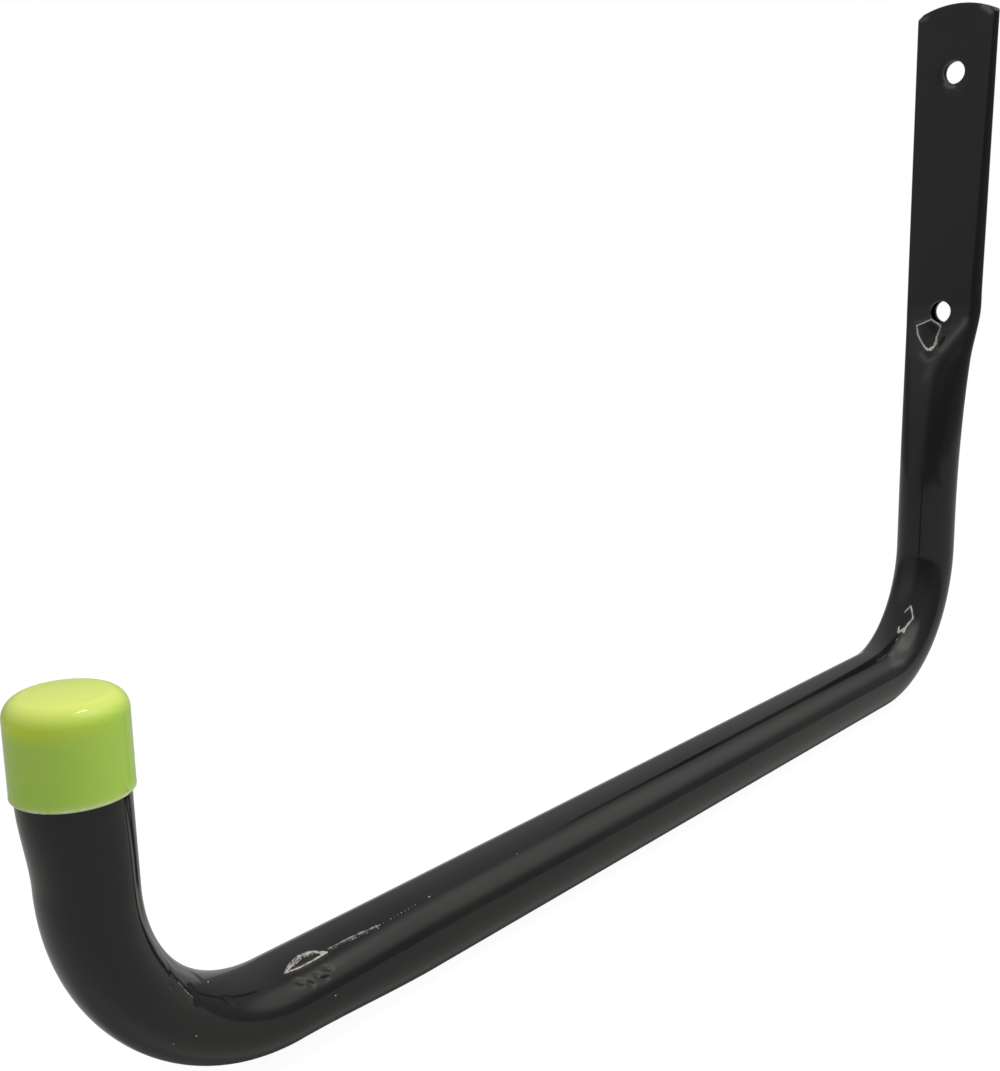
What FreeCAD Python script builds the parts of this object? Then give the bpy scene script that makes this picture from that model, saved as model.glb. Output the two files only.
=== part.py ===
"""Garage utility hook: one bent steel tube, pressed flat at the wall end, with a plastic cap on its tip.

Frame: the wall is the plane Y = 0, the arm reaches out along -Y and +Z is up. The origin lies on the
wall, midway between the two screw holes. Lengths are in millimetres.
"""
import FreeCAD, Part
import Sketcher
import math
import os

from FreeCAD import Placement, Rotation, Vector

# Driving sizes: name, value and what it measures
SIZES = [
    ("tube_diameter", 19.0, "outside diameter of the round tube"),
    ("tube_wall", 1.2, "wall of the tube"),
    ("arm_straight", 255.8, "straight run of the arm between its two bends"),
    ("wall_bend_radius", 39.5, "centre-line radius of the bend at the wall"),
    ("tip_bend_radius", 38.9, "centre-line radius of the bend at the tip"),
    ("bend_start_squash", 0.113, "share of the diameter lost where the tip bend starts"),
    ("bend_middle_squash", 0.149, "share of the diameter lost in the middle of the tip bend"),
    ("bend_end_squash", 0.125, "share of the diameter lost where the tip bend ends"),
    ("squash_run", 38.8, "end of the arm over which the squash sets in"),
    ("squash_spread", 0.44, "how much of a squash goes into the width, as a share of it"),
    ("squash_shift", 0.73, "how much of a squash shifts the tube towards the inside of the bend"),
    ("tip_straight", 32.8, "straight run of the up-turned tip"),
    ("screw_spacing", 78.0, "distance between the two screw holes"),
    ("screw_hole_diameter", 7.3, "screw holes, through both walls of the pressed end"),
    ("screw_height", 119.7, "arm's centre line to the lower screw hole"),
    ("top_margin", 21.6, "upper screw hole to the top of the pressed end"),
    ("top_arc_rise", 3.3, "rise of the arc that the top is cut to"),
    ("press_gap", 0.1, "gap left between the two walls at the top"),
    ("press_wedge", 3.4, "how much deeper the pressed end is at the lower screw hole than at the top"),
    ("press_spread", 0.955, "share of its full spread to which the pressing widened the tube"),
    ("valley_recess", 2.4, "how far the valley lies below the swelling sides"),
    ("valley_length", 16.5, "lower screw hole down to the tip of the pressed valley"),
    ("valley_end_depth", 12.4, "depth of the squashed tube at the tip of the valley"),
    ("round_straight", 8.0, "straight round run above the wall bend"),
    ("dimple_depth", 0.4, "depth of the dimple that the punch left round the upper screw hole"),
    ("dimple_radius", 5.5, "radius of that dimple at the face"),
    ("cap_depth", 14.8, "length of tube inside the cap"),
    ("cap_wall", 0.7, "side wall of the cap"),
    ("cap_top", 2.5, "end wall of the cap"),
    ("cap_edge_radius", 3.8, "rounding of the cap's upper edge"),
    ("cap_clearance", 0.05, "gap between the cap's bore and the tube"),
]

# Sizes that follow from the driving ones
DERIVED = [
    ("tube_radius", "tube_diameter / 2"),
    ("arm_z", "-screw_spacing / 2 - screw_height"),
    ("wall_bend_y", "-tube_radius - wall_bend_radius"),
    ("wall_bend_z", "arm_z + wall_bend_radius"),
    ("tip_bend_y", "wall_bend_y - arm_straight"),
    ("tip_bend_z", "arm_z + tip_bend_radius"),
    ("tip_y", "tip_bend_y - tip_bend_radius"),
    ("tip_end_z", "tip_bend_z + tip_straight"),
    ("tip_open_run", "tip_straight - cap_depth"),
    ("upper_screw_z", "screw_spacing / 2"),
    ("lower_screw_z", "-screw_spacing / 2"),
    ("top_z", "upper_screw_z + top_margin"),
    ("valley_end_z", "lower_screw_z - valley_length"),
    ("round_top_z", "wall_bend_z + round_straight"),
    ("top_depth", "2 * tube_wall + press_gap"),
    ("low_depth", "top_depth + press_wedge"),
    ("top_half_width", "top_depth / 2 + press_spread * pi * (tube_diameter - top_depth) / 4"),
    ("top_arc_radius", "(top_half_width ^ 2 + top_arc_rise ^ 2) / (2 * top_arc_rise)"),
    ("upper_screw_depth", "top_depth + press_wedge * top_margin / (top_margin + screw_spacing)"),
    ("dimple_ball_radius", "(dimple_radius ^ 2 + dimple_depth ^ 2) / (2 * dimple_depth)"),
]

# Height over which the slope of the press eases into that of the valley
EASE_RUN = 8.0
# How much tighter than half its depth the side of a half-squashed section is rounded
SIDE_SHARE = 0.35
# Direction from the centre in which an oval's side round ends once the oval is almost a circle
ROUND_SPLIT = math.radians(61.0)
# Least difference between two lengths that counts as one
TINY = 1e-6
# How finely the squashed stretches are followed
FACE_POINTS = 9
TAPER_STEPS = 14
SQUASH_STEPS = 4
BEND_STEPS = 6
# How far a cutting shape passes the face that it cuts
OVERCUT = 2.0
# Turn about X that points a part's own Z axis out along the arm or up the tip
OUT, UP = 90.0, 0.0


def make_sheet(doc):
    """Write every size into the sheet, each under its own alias."""
    sheet = doc.addObject("Spreadsheet::Sheet", "sizes")
    rows = [(name, str(value), note) for name, value, note in SIZES]
    rows += [(name, "=" + formula, "follows from the sizes above") for name, formula in DERIVED]
    for row, (name, content, note) in enumerate(rows, start=1):
        sheet.set(f"A{row}", name)
        sheet.setAlias(f"B{row}", name)
        sheet.set(f"B{row}", content)
        sheet.set(f"C{row}", note)
    doc.recompute()
    return sheet


def bind(item, **formulas):
    """Tie an object's properties to formulas; a double underscore in a key stands for a dot."""
    for key, formula in formulas.items():
        item.setExpression(key.replace("__", "."), formula)
    return item


def smooth(value):
    """Ease from 0 to 1 with level ends."""
    value = min(max(value, 0.0), 1.0)
    return value * value * (3.0 - 2.0 * value)


def ease_between(z, high, low, high_value, low_value, high_slope, low_slope):
    """Value at a height between two others, passing both with the given slopes."""
    run = high - low
    share = (high - z) / run
    left = 1.0 - share
    return (
        high_value * left * left * (1.0 + 2.0 * share)
        + low_value * share * share * (1.0 + 2.0 * left)
        + high_slope * run * share * left * left
        - low_slope * run * share * share * left
    )


def press_depth(sheet, z):
    """Depth of the pressed tube out from the wall, growing downwards until the tube is round."""
    wedge = sheet.press_wedge / (sheet.top_z - sheet.lower_screw_z)
    valley = (sheet.valley_end_depth - sheet.low_depth) / sheet.valley_length
    taper = (sheet.tube_diameter - sheet.valley_end_depth) / (sheet.valley_end_z - sheet.round_top_z)
    screw_slope = (wedge + valley) / 2.0
    valley_slope = (valley + taper) / 2.0
    middle = sheet.low_depth - wedge * EASE_RUN
    if z >= sheet.lower_screw_z + EASE_RUN:
        return sheet.top_depth + wedge * (sheet.top_z - z)
    if z >= sheet.lower_screw_z:
        return ease_between(z, sheet.lower_screw_z + EASE_RUN, sheet.lower_screw_z,
                            middle, sheet.low_depth, wedge, screw_slope)
    if z >= sheet.valley_end_z:
        return ease_between(z, sheet.lower_screw_z, sheet.valley_end_z,
                            sheet.low_depth, sheet.valley_end_depth, screw_slope, valley_slope)
    return ease_between(z, sheet.valley_end_z, sheet.round_top_z,
                        sheet.valley_end_depth, sheet.tube_diameter, valley_slope, 0.0)


def crown(half_width, side, rise):
    """Where the side round of an oval meets the arc over its middle, which rises to a given height."""
    reach = half_width - side
    gap = rise - side
    if abs(gap) < TINY:
        return reach, rise
    spread = (reach ** 2 + rise ** 2 - side ** 2) / (2.0 * gap) - side
    return reach + side * reach / spread, side * (spread - gap) / spread


class PressedSection:
    """Section of the pressed end at a height: two side rounds, a back on the wall and a face.

    Under the lower screw hole the flat face narrows to a valley, which ends in a point.
    """

    def __init__(self, sheet, z, inset):
        depth = press_depth(sheet, z)
        flat = sheet.press_spread * math.pi * (sheet.tube_diameter - depth) / 4.0
        low_flat = sheet.press_spread * math.pi * (sheet.tube_diameter - sheet.low_depth) / 4.0
        roundness = 1.0 - min(flat / low_flat, 1.0) ** 2
        self.z = z
        self.middle = -depth / 2.0
        self.rise = depth / 2.0 - inset
        self.half_width = self.rise + flat
        self.side = self.rise - roundness * flat * SIDE_SHARE
        self.past_screw = min(max((sheet.lower_screw_z - z) / sheet.valley_length, 0.0), 1.0)
        self.recess = sheet.valley_recess
        self.point_width = sheet.tube_wall
        if flat < TINY:
            self.joint = (self.rise * math.cos(ROUND_SPLIT), self.rise * math.sin(ROUND_SPLIT))
        else:
            self.joint = crown(self.half_width, self.side, self.rise)

    def point(self, x, out):
        """Place a point given across the section and out from its middle."""
        return Vector(x, self.middle - out, self.z)

    def arc(self, x, out, rise):
        """Arc or line over the middle, from one side to the other."""
        ends = self.point(x, out), self.point(-x, out)
        if abs(rise - out) < TINY:
            return Part.LineSegment(*ends)
        return Part.Arc(ends[0], self.point(0.0, rise), ends[1])

    def valley(self):
        """Face with a valley, which deepens, narrows and fades below the screw hole."""
        x_end, out_end = self.joint
        deep = self.recess * smooth(2.0 * self.past_screw) * smooth(2.0 * (1.0 - self.past_screw))
        reach = x_end * (1.0 - self.past_screw) + self.point_width * self.past_screw
        sagitta = self.rise - out_end
        points = []
        for step in range(FACE_POINTS):
            x = x_end * math.cos(math.pi * step / (FACE_POINTS - 1))
            out = self.rise - sagitta * (x / x_end) ** 2
            out -= deep * (1.0 - min(abs(x) / reach, 1.0) ** 2) ** 2
            points.append(self.point(x, out))
        curve = Part.BSplineCurve()
        curve.interpolate(Points=points)
        return curve

    def outline(self):
        """Closed outline: back, one side, face and the other side."""
        x_end, out_end = self.joint
        if 0.0 < self.past_screw < 1.0:
            face = self.valley()
        else:
            face = self.arc(x_end, out_end, self.rise)
        back = self.arc(-x_end, -out_end, -self.rise)
        right = Part.Arc(self.point(x_end, -out_end), self.point(self.half_width, 0.0),
                         self.point(x_end, out_end))
        left = Part.Arc(self.point(-x_end, out_end), self.point(-self.half_width, 0.0),
                        self.point(-x_end, -out_end))
        return Part.Wire([curve.toShape() for curve in (back, right, face, left)])


def loft(doc, name, sections):
    """Solid through a row of closed sections."""
    solid = doc.addObject("Part::Loft", name)
    solid.Sections = sections
    solid.Solid = True
    return solid


def wedge_plate(outlines):
    """Solid between two outlines of the plate, with a true plane for its back on the wall."""
    faces = []
    for face in Part.makeLoft(outlines, True, True).Faces:
        if face.BoundBox.YLength < TINY:
            back = Part.Plane(face.CenterOfMass, Vector(0, 1, 0))
            face = Part.Face(back, Part.Wire(face.Edges))
        faces.append(face)
    return Part.Solid(Part.Shell(faces))


def pressed_end(doc, sheet, name, inset):
    """Flat plate with rolled edges, and the taper that turns it into the round tube."""
    ease_top = sheet.lower_screw_z + EASE_RUN
    taper_run = ease_top - sheet.round_top_z
    outlines = []
    for step in range(TAPER_STEPS + 1):
        outline = doc.addObject("Part::Feature", f"{name}_outline_{step}")
        outline.Shape = PressedSection(sheet, ease_top - taper_run * step / TAPER_STEPS, inset).outline()
        outlines.append(outline)
    plate = doc.addObject("Part::Feature", f"{name}_plate")
    plate.Shape = wedge_plate([
        PressedSection(sheet, sheet.top_z + OVERCUT, inset).outline(), outlines[0].Shape])
    return [plate, loft(doc, f"{name}_taper", outlines)]


def turned(angle):
    """Placement whose own Z axis points down the wall, out from it or up the tip."""
    return Placement(Vector(), Rotation(Vector(1, 0, 0), angle))


def run(doc, name, angle, inset, length, y, z):
    """Straight round run of the tube or of its bore."""
    rod = doc.addObject("Part::Cylinder", name)
    rod.Placement = turned(angle)
    return bind(rod, Radius=f"sizes.tube_radius - {inset}", Height=length,
                Placement__Base__y=y, Placement__Base__z=z)


def ring(doc, name, turn, squash, inset, y, z):
    """Oval square to the tube after a turn of the tip bend.

    Its squash flattens the outside of the bend more than the inside.
    """
    oval = doc.addObject("Part::Ellipse", name)
    oval.Placement = turned(OUT - turn)
    side, ahead = math.cos(math.radians(turn)), math.sin(math.radians(turn))
    shift = f"sizes.tube_radius * sizes.squash_shift * {squash}"
    return bind(
        oval,
        MajorRadius=f"sizes.tube_radius * (1 + sizes.squash_spread * {squash}) - {inset}",
        MinorRadius=f"sizes.tube_radius * (1 - {squash}) - {inset}",
        Placement__Base__y=f"{y} + {shift} * {ahead}",
        Placement__Base__z=f"{z} + {shift} * {side}",
    )


def squashed_part(doc, name, inset):
    """The end of the arm, the tip bend and the open run of the tip, which the bending squashed."""
    rings = []
    for step in range(SQUASH_STEPS):
        share = step / SQUASH_STEPS
        rings.append(ring(
            doc, f"{name}_arm_ring_{step}", 0.0, f"sizes.bend_start_squash * {smooth(share)}", inset,
            f"sizes.tip_bend_y + sizes.squash_run * {1.0 - share}", "sizes.arm_z"))
    for step in range(BEND_STEPS + 1):
        share = step / BEND_STEPS
        turn = share * (OUT - UP)
        start = (1.0 - share) * (1.0 - 2.0 * share)
        middle = 4.0 * share * (1.0 - share)
        end = share * (2.0 * share - 1.0)
        rings.append(ring(
            doc, f"{name}_bend_ring_{step}", turn,
            f"(sizes.bend_start_squash * {start} + sizes.bend_middle_squash * {middle}"
            f" + sizes.bend_end_squash * {end})", inset,
            f"sizes.tip_bend_y - sizes.tip_bend_radius * {math.sin(math.radians(turn))}",
            f"sizes.tip_bend_z - sizes.tip_bend_radius * {math.cos(math.radians(turn))}"))
    for step in range(1, SQUASH_STEPS + 1):
        share = step / SQUASH_STEPS
        rings.append(ring(
            doc, f"{name}_tip_ring_{step}", OUT - UP, f"sizes.bend_end_squash * {1.0 - smooth(share)}", inset,
            "sizes.tip_y", f"sizes.tip_bend_z + sizes.tip_open_run * {share}"))
    return loft(doc, f"{name}_squashed", rings)


def round_part(doc, name, inset, overrun):
    """Everything below the pressed end: the wall bend, the arm, the tip bend and the tip."""
    upright = run(doc, f"{name}_upright", UP, inset, "sizes.round_straight",
                  "-sizes.tube_radius", "sizes.wall_bend_z")
    wall_bend = doc.addObject("Part::Torus", f"{name}_wall_bend")
    wall_bend.Placement.Rotation = Rotation(Vector(0, 1, 0), Vector(0, 0, -1), Vector(-1, 0, 0))
    wall_bend.Angle3 = 90.0
    bind(wall_bend, Radius1="sizes.wall_bend_radius", Radius2=f"sizes.tube_radius - {inset}",
         Placement__Base__y="sizes.wall_bend_y", Placement__Base__z="sizes.wall_bend_z")
    arm = run(doc, f"{name}_arm", OUT, inset, "sizes.arm_straight - sizes.squash_run",
              "sizes.wall_bend_y", "sizes.arm_z")
    tip = run(doc, f"{name}_tip", UP, inset, f"sizes.cap_depth + {overrun}",
              "sizes.tip_y", "sizes.tip_bend_z + sizes.tip_open_run")
    return [upright, wall_bend, arm, squashed_part(doc, name, inset), tip]


def whole_tube(doc, sheet, name, inset, inset_formula, overrun):
    """The whole tube as one solid, drawn in from the outer skin by an inset."""
    tube = doc.addObject("Part::MultiFuse", name)
    tube.Shapes = pressed_end(doc, sheet, name, inset) + round_part(doc, name, inset_formula, overrun)
    return tube


def cut(doc, name, base, tool):
    """One solid less another."""
    result = doc.addObject("Part::Cut", name)
    result.Base = base
    result.Tool = tool
    return result


def cross_rod(doc, name, radius, length, z):
    """Cylinder that runs out from behind the wall plane, square to it."""
    tool = doc.addObject("Part::Cylinder", name)
    tool.Placement = Placement(Vector(0, OVERCUT, 0), Rotation(Vector(1, 0, 0), 90.0))
    return bind(tool, Radius=radius, Height=length, Placement__Base__z=z)


def top_waste(doc):
    """What is cut away above the arc of the top edge."""
    block = doc.addObject("Part::Box", "top_block")
    bind(
        block,
        Length="2 * sizes.tube_diameter",
        Width="sizes.tube_diameter",
        Height=f"sizes.top_arc_rise + {2 * OVERCUT}",
        Placement__Base__x="-sizes.tube_diameter",
        Placement__Base__y=f"{OVERCUT} - sizes.tube_diameter",
        Placement__Base__z="sizes.top_z - sizes.top_arc_rise",
    )
    arc = cross_rod(doc, "top_arc", "sizes.top_arc_radius", f"sizes.tube_diameter + {2 * OVERCUT}",
                    "sizes.top_z - sizes.top_arc_radius")
    return cut(doc, "top_waste", block, arc)


def dimple(doc):
    """Shallow bowl that the punch left in the face round the upper screw hole."""
    ball = doc.addObject("Part::Sphere", "dimple_ball")
    return bind(
        ball,
        Radius="sizes.dimple_ball_radius",
        Placement__Base__y="sizes.dimple_depth - sizes.upper_screw_depth - sizes.dimple_ball_radius",
        Placement__Base__z="sizes.upper_screw_z",
    )


def hook_tube(doc, sheet):
    """The bent tube: its skin, less the dimple, the bore, the arc of its top and the screw holes."""
    skin = whole_tube(doc, sheet, "skin", 0.0, "0", 0.0)
    bore = whole_tube(doc, sheet, "bore", sheet.tube_wall, "sizes.tube_wall", OVERCUT)
    radius = "sizes.screw_hole_diameter / 2"
    length = f"sizes.tube_diameter + {2 * OVERCUT}"
    upper_hole = cross_rod(doc, "upper_screw_hole", radius, length, "sizes.upper_screw_z")
    lower_hole = cross_rod(doc, "lower_screw_hole", radius, length, "sizes.lower_screw_z")
    tube = cut(doc, "dimpled_skin", skin, dimple(doc))
    tube = cut(doc, "open_tube", tube, bore)
    tube = cut(doc, "trimmed_tube", tube, top_waste(doc))
    tube = cut(doc, "tube_with_upper_hole", tube, upper_hole)
    tube = cut(doc, "hook_tube", tube, lower_hole)
    tube.Label = "hook_tube"
    return tube


def origin_plane(body, role):
    """One of a body's own origin planes."""
    return next(item for item in body.Origin.OriginFeatures if item.Role == role)


def round_sketch(body, name, growth, height):
    """Circle square to the tip, larger than the tube by a growth, at a height above the tube's end."""
    sketch = body.newObject("Sketcher::SketchObject", name)
    sketch.AttachmentSupport = [(origin_plane(body, "XY_Plane"), "")]
    sketch.MapMode = "FlatFace"
    bind(sketch, AttachmentOffset__Base__z=height)
    circle = sketch.addGeometry(Part.Circle(), False)
    sketch.addConstraint(Sketcher.Constraint("Coincident", circle, 3, -1, 1))
    radius = sketch.addConstraint(Sketcher.Constraint("Radius", circle, 1.0))
    sketch.renameConstraint(radius, "radius")
    return bind(sketch, Constraints__radius=f"sizes.tube_radius + {growth}")


def end_cap(doc):
    """Soft cap pushed over the tube's end: a cup with a rounded upper edge, open below."""
    body = doc.addObject("PartDesign::Body", "end_cap")
    body.Label = "end_cap"
    bind(body, Placement__Base__y="sizes.tip_y", Placement__Base__z="sizes.tip_end_z")
    rim = round_sketch(body, "cap_outline", "sizes.cap_clearance + sizes.cap_wall", "-sizes.cap_depth")
    cup = body.newObject("PartDesign::Pad", "cap_block")
    cup.Profile = rim
    bind(cup, Length="sizes.cap_depth + sizes.cap_top")
    doc.recompute()
    top_edge = max(range(len(cup.Shape.Edges)), key=lambda index: cup.Shape.Edges[index].CenterOfMass.z)
    edge = body.newObject("PartDesign::Fillet", "cap_upper_edge")
    edge.Base = (cup, [f"Edge{top_edge + 1}"])
    bind(edge, Radius="sizes.cap_edge_radius")
    mouth = round_sketch(body, "cap_mouth", "sizes.cap_clearance", "-sizes.cap_depth")
    bore = body.newObject("PartDesign::Pocket", "cap_bore")
    bore.Profile = mouth
    bore.Reversed = True
    bind(bore, Length="sizes.cap_depth")
    return body


def check(doc, pieces):
    """Stop if any object failed or a piece isn't one sound solid."""
    for item in doc.Objects:
        if "Invalid" in item.State or "Error" in item.State:
            raise RuntimeError(f"{item.Name} did not build: {item.State}")
    for piece in pieces:
        shape = piece.Shape
        if shape.isNull() or not shape.isValid() or len(shape.Solids) != 1:
            raise RuntimeError(f"{piece.Label} is not one sound solid")


def main():
    """Build the hook and write one file for each piece."""
    doc = FreeCAD.newDocument("garage_hook")
    sheet = make_sheet(doc)
    pieces = [hook_tube(doc, sheet), end_cap(doc)]
    doc.recompute()
    check(doc, pieces)
    os.makedirs("parts", exist_ok=True)
    for piece in pieces:
        piece.Shape.exportStep(f"parts/{piece.Label}.step")
        print(piece.Label, "volume", round(piece.Shape.Volume, 1), "box", piece.Shape.BoundBox)


main()
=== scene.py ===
"""Looks of a garage utility hook: a black painted steel tube, pressed flat at the wall end, with a lime cap.

The wall is the plane Y = 0, the arm reaches out along -Y and +Z is up. Sizes are in millimetres and become
metres when a mesh is made.
"""

import logging
import math
from dataclasses import dataclass, field
from enum import Enum

import bpy
import bmesh
import numpy as np
from mathutils import Matrix, Vector


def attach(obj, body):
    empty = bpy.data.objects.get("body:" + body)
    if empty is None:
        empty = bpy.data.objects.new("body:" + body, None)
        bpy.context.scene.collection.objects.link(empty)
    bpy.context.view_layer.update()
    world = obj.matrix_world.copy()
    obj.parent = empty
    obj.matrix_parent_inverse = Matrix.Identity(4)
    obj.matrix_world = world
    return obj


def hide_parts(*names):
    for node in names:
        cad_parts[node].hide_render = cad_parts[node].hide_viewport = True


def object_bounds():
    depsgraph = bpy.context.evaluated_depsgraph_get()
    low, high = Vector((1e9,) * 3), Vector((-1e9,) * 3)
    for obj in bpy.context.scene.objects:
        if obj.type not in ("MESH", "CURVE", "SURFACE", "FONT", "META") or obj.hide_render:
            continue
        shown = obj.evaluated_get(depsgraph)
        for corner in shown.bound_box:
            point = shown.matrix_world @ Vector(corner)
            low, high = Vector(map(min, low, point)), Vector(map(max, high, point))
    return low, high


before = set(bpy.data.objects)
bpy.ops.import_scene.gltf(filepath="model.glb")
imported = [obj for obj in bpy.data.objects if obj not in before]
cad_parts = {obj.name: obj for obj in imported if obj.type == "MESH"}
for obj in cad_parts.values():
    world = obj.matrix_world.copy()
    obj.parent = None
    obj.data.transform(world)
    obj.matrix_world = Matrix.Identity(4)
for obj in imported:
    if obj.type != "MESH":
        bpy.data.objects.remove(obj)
CAD_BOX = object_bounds()

LOG = logging.getLogger("hook")
MM = 0.001
TINY = 1e-6
QUARTER = math.pi / 2.0
BODY = "root"
TUBE_NODE, CAP_NODE = "hook_tube", "end_cap"
IMAGE_WIDE, IMAGE_HIGH = 1000, 1071

Point = tuple[float, float, float]
Colour = tuple[float, float, float]


def smooth(value: np.ndarray | float) -> np.ndarray | float:
    """Ease from 0 to 1 with level ends."""
    value = np.clip(value, 0.0, 1.0)
    return value * value * (3.0 - 2.0 * value)


def ease_between(share: float, run: float, ends: tuple[float, float], slopes: tuple[float, float]) -> float:
    """Pass two values with given slopes.

    Args:
        share: How far between the two, from 0 to 1.
        run: Distance between the two.
        ends: The values at both ends.
        slopes: The growth per length at both ends.

    Returns:
        The value at that share.
    """
    left = 1.0 - share
    return (
        ends[0] * left * left * (1.0 + 2.0 * share)
        + ends[1] * share * share * (1.0 + 2.0 * left)
        + slopes[0] * run * share * left * left
        - slopes[1] * run * share * share * left
    )


def paced(runs: tuple[tuple[float, float, float], ...], coarse: float = 1.0) -> np.ndarray:
    """Places along joined runs, each with its own spacing.

    Args:
        runs: Start, stop and spacing of each run.
        coarse: What every spacing is multiplied by.

    Returns:
        The places, without the last run's end.
    """
    parts = [np.linspace(start, stop, max(round(abs(stop - start) / gap / coarse), 1), endpoint=False)
             for start, stop, gap in runs]
    return np.concatenate(parts)


@dataclass(frozen=True)
class TubeSizes:
    """Sizes of the bent tube, as the part's source has them."""

    diameter: float = 19.0
    wall: float = 1.2
    arm_straight: float = 255.8
    wall_bend_radius: float = 39.5
    tip_bend_radius: float = 38.9
    bend_squash: tuple[float, float, float] = (0.113, 0.149, 0.125)
    squash_run: float = 38.8
    squash_spread: float = 0.44
    squash_shift: float = 0.73
    tip_straight: float = 32.8
    cap_depth: float = 14.8
    screw_spacing: float = 78.0
    screw_hole: float = 7.3
    screw_height: float = 119.7
    top_margin: float = 21.6
    top_arc_rise: float = 3.3
    press_gap: float = 0.1
    press_wedge: float = 3.4
    press_spread: float = 0.955
    valley_recess: float = 2.4
    valley_length: float = 16.5
    valley_end_depth: float = 12.4
    round_straight: float = 8.0
    dimple_depth: float = 0.4
    dimple_radius: float = 5.5
    ease_run: float = 8.0
    side_share: float = 0.35

    @property
    def radius(self) -> float:
        """Outside radius of the round tube."""
        return self.diameter / 2.0

    @property
    def arm_z(self) -> float:
        """Height of the arm's centre line."""
        return self.lower_screw_z - self.screw_height

    @property
    def upper_screw_z(self) -> float:
        """Height of the upper screw hole."""
        return self.screw_spacing / 2.0

    @property
    def lower_screw_z(self) -> float:
        """Height of the lower screw hole."""
        return -self.screw_spacing / 2.0

    @property
    def top_z(self) -> float:
        """Height of the top's crest."""
        return self.upper_screw_z + self.top_margin

    @property
    def valley_end_z(self) -> float:
        """Height of the valley's lower point."""
        return self.lower_screw_z - self.valley_length

    @property
    def wall_bend_centre(self) -> tuple[float, float]:
        """Centre of the wall bend, out from the wall and up."""
        return -self.radius - self.wall_bend_radius, self.arm_z + self.wall_bend_radius

    @property
    def round_top_z(self) -> float:
        """Height below which the upright is round."""
        return self.wall_bend_centre[1] + self.round_straight

    @property
    def tip_bend_centre(self) -> tuple[float, float]:
        """Centre of the tip bend, out from the wall and up."""
        return self.wall_bend_centre[0] - self.arm_straight, self.arm_z + self.tip_bend_radius

    @property
    def tip_y(self) -> float:
        """Distance of the tip's centre line from the wall, as a Y value."""
        return self.tip_bend_centre[0] - self.tip_bend_radius

    @property
    def tip_end_z(self) -> float:
        """Height of the tube's end inside the cap."""
        return self.tip_bend_centre[1] + self.tip_straight

    @property
    def tip_open_run(self) -> float:
        """Length of the tip between its bend and the cap."""
        return self.tip_straight - self.cap_depth

    @property
    def low_depth(self) -> float:
        """Depth of the pressed end at the lower screw hole."""
        return 2.0 * self.wall + self.press_gap + self.press_wedge

    def depth(self, z: float) -> float:
        """Depth of the pressed tube out from the wall.

        Args:
            z: Height on the upright.

        Returns:
            The depth, which grows downwards until the tube is round.
        """
        wedge = self.press_wedge / (self.top_z - self.lower_screw_z)
        valley = (self.valley_end_depth - self.low_depth) / self.valley_length
        taper = (self.diameter - self.valley_end_depth) / (self.valley_end_z - self.round_top_z)
        screw_slope = (wedge + valley) / 2.0
        valley_slope = (valley + taper) / 2.0
        ease_top = self.lower_screw_z + self.ease_run
        if z >= ease_top:
            return self.low_depth - wedge * (z - self.lower_screw_z)
        if z >= self.lower_screw_z:
            return ease_between((ease_top - z) / self.ease_run, self.ease_run,
                                (self.low_depth - wedge * self.ease_run, self.low_depth),
                                (wedge, screw_slope))
        if z >= self.valley_end_z:
            return ease_between((self.lower_screw_z - z) / self.valley_length, self.valley_length,
                                (self.low_depth, self.valley_end_depth), (screw_slope, valley_slope))
        run = self.valley_end_z - self.round_top_z
        return ease_between(min((self.valley_end_z - z) / run, 1.0), run,
                            (self.valley_end_depth, self.diameter), (valley_slope, 0.0))

    def bend_share(self, turn: float) -> float:
        """Squash after a share of the tip bend, through its values at the start, middle and end."""
        start, middle, end = self.bend_squash
        return (start * (1.0 - turn) * (1.0 - 2.0 * turn) + middle * 4.0 * turn * (1.0 - turn)
                + end * turn * (2.0 * turn - 1.0))


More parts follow.
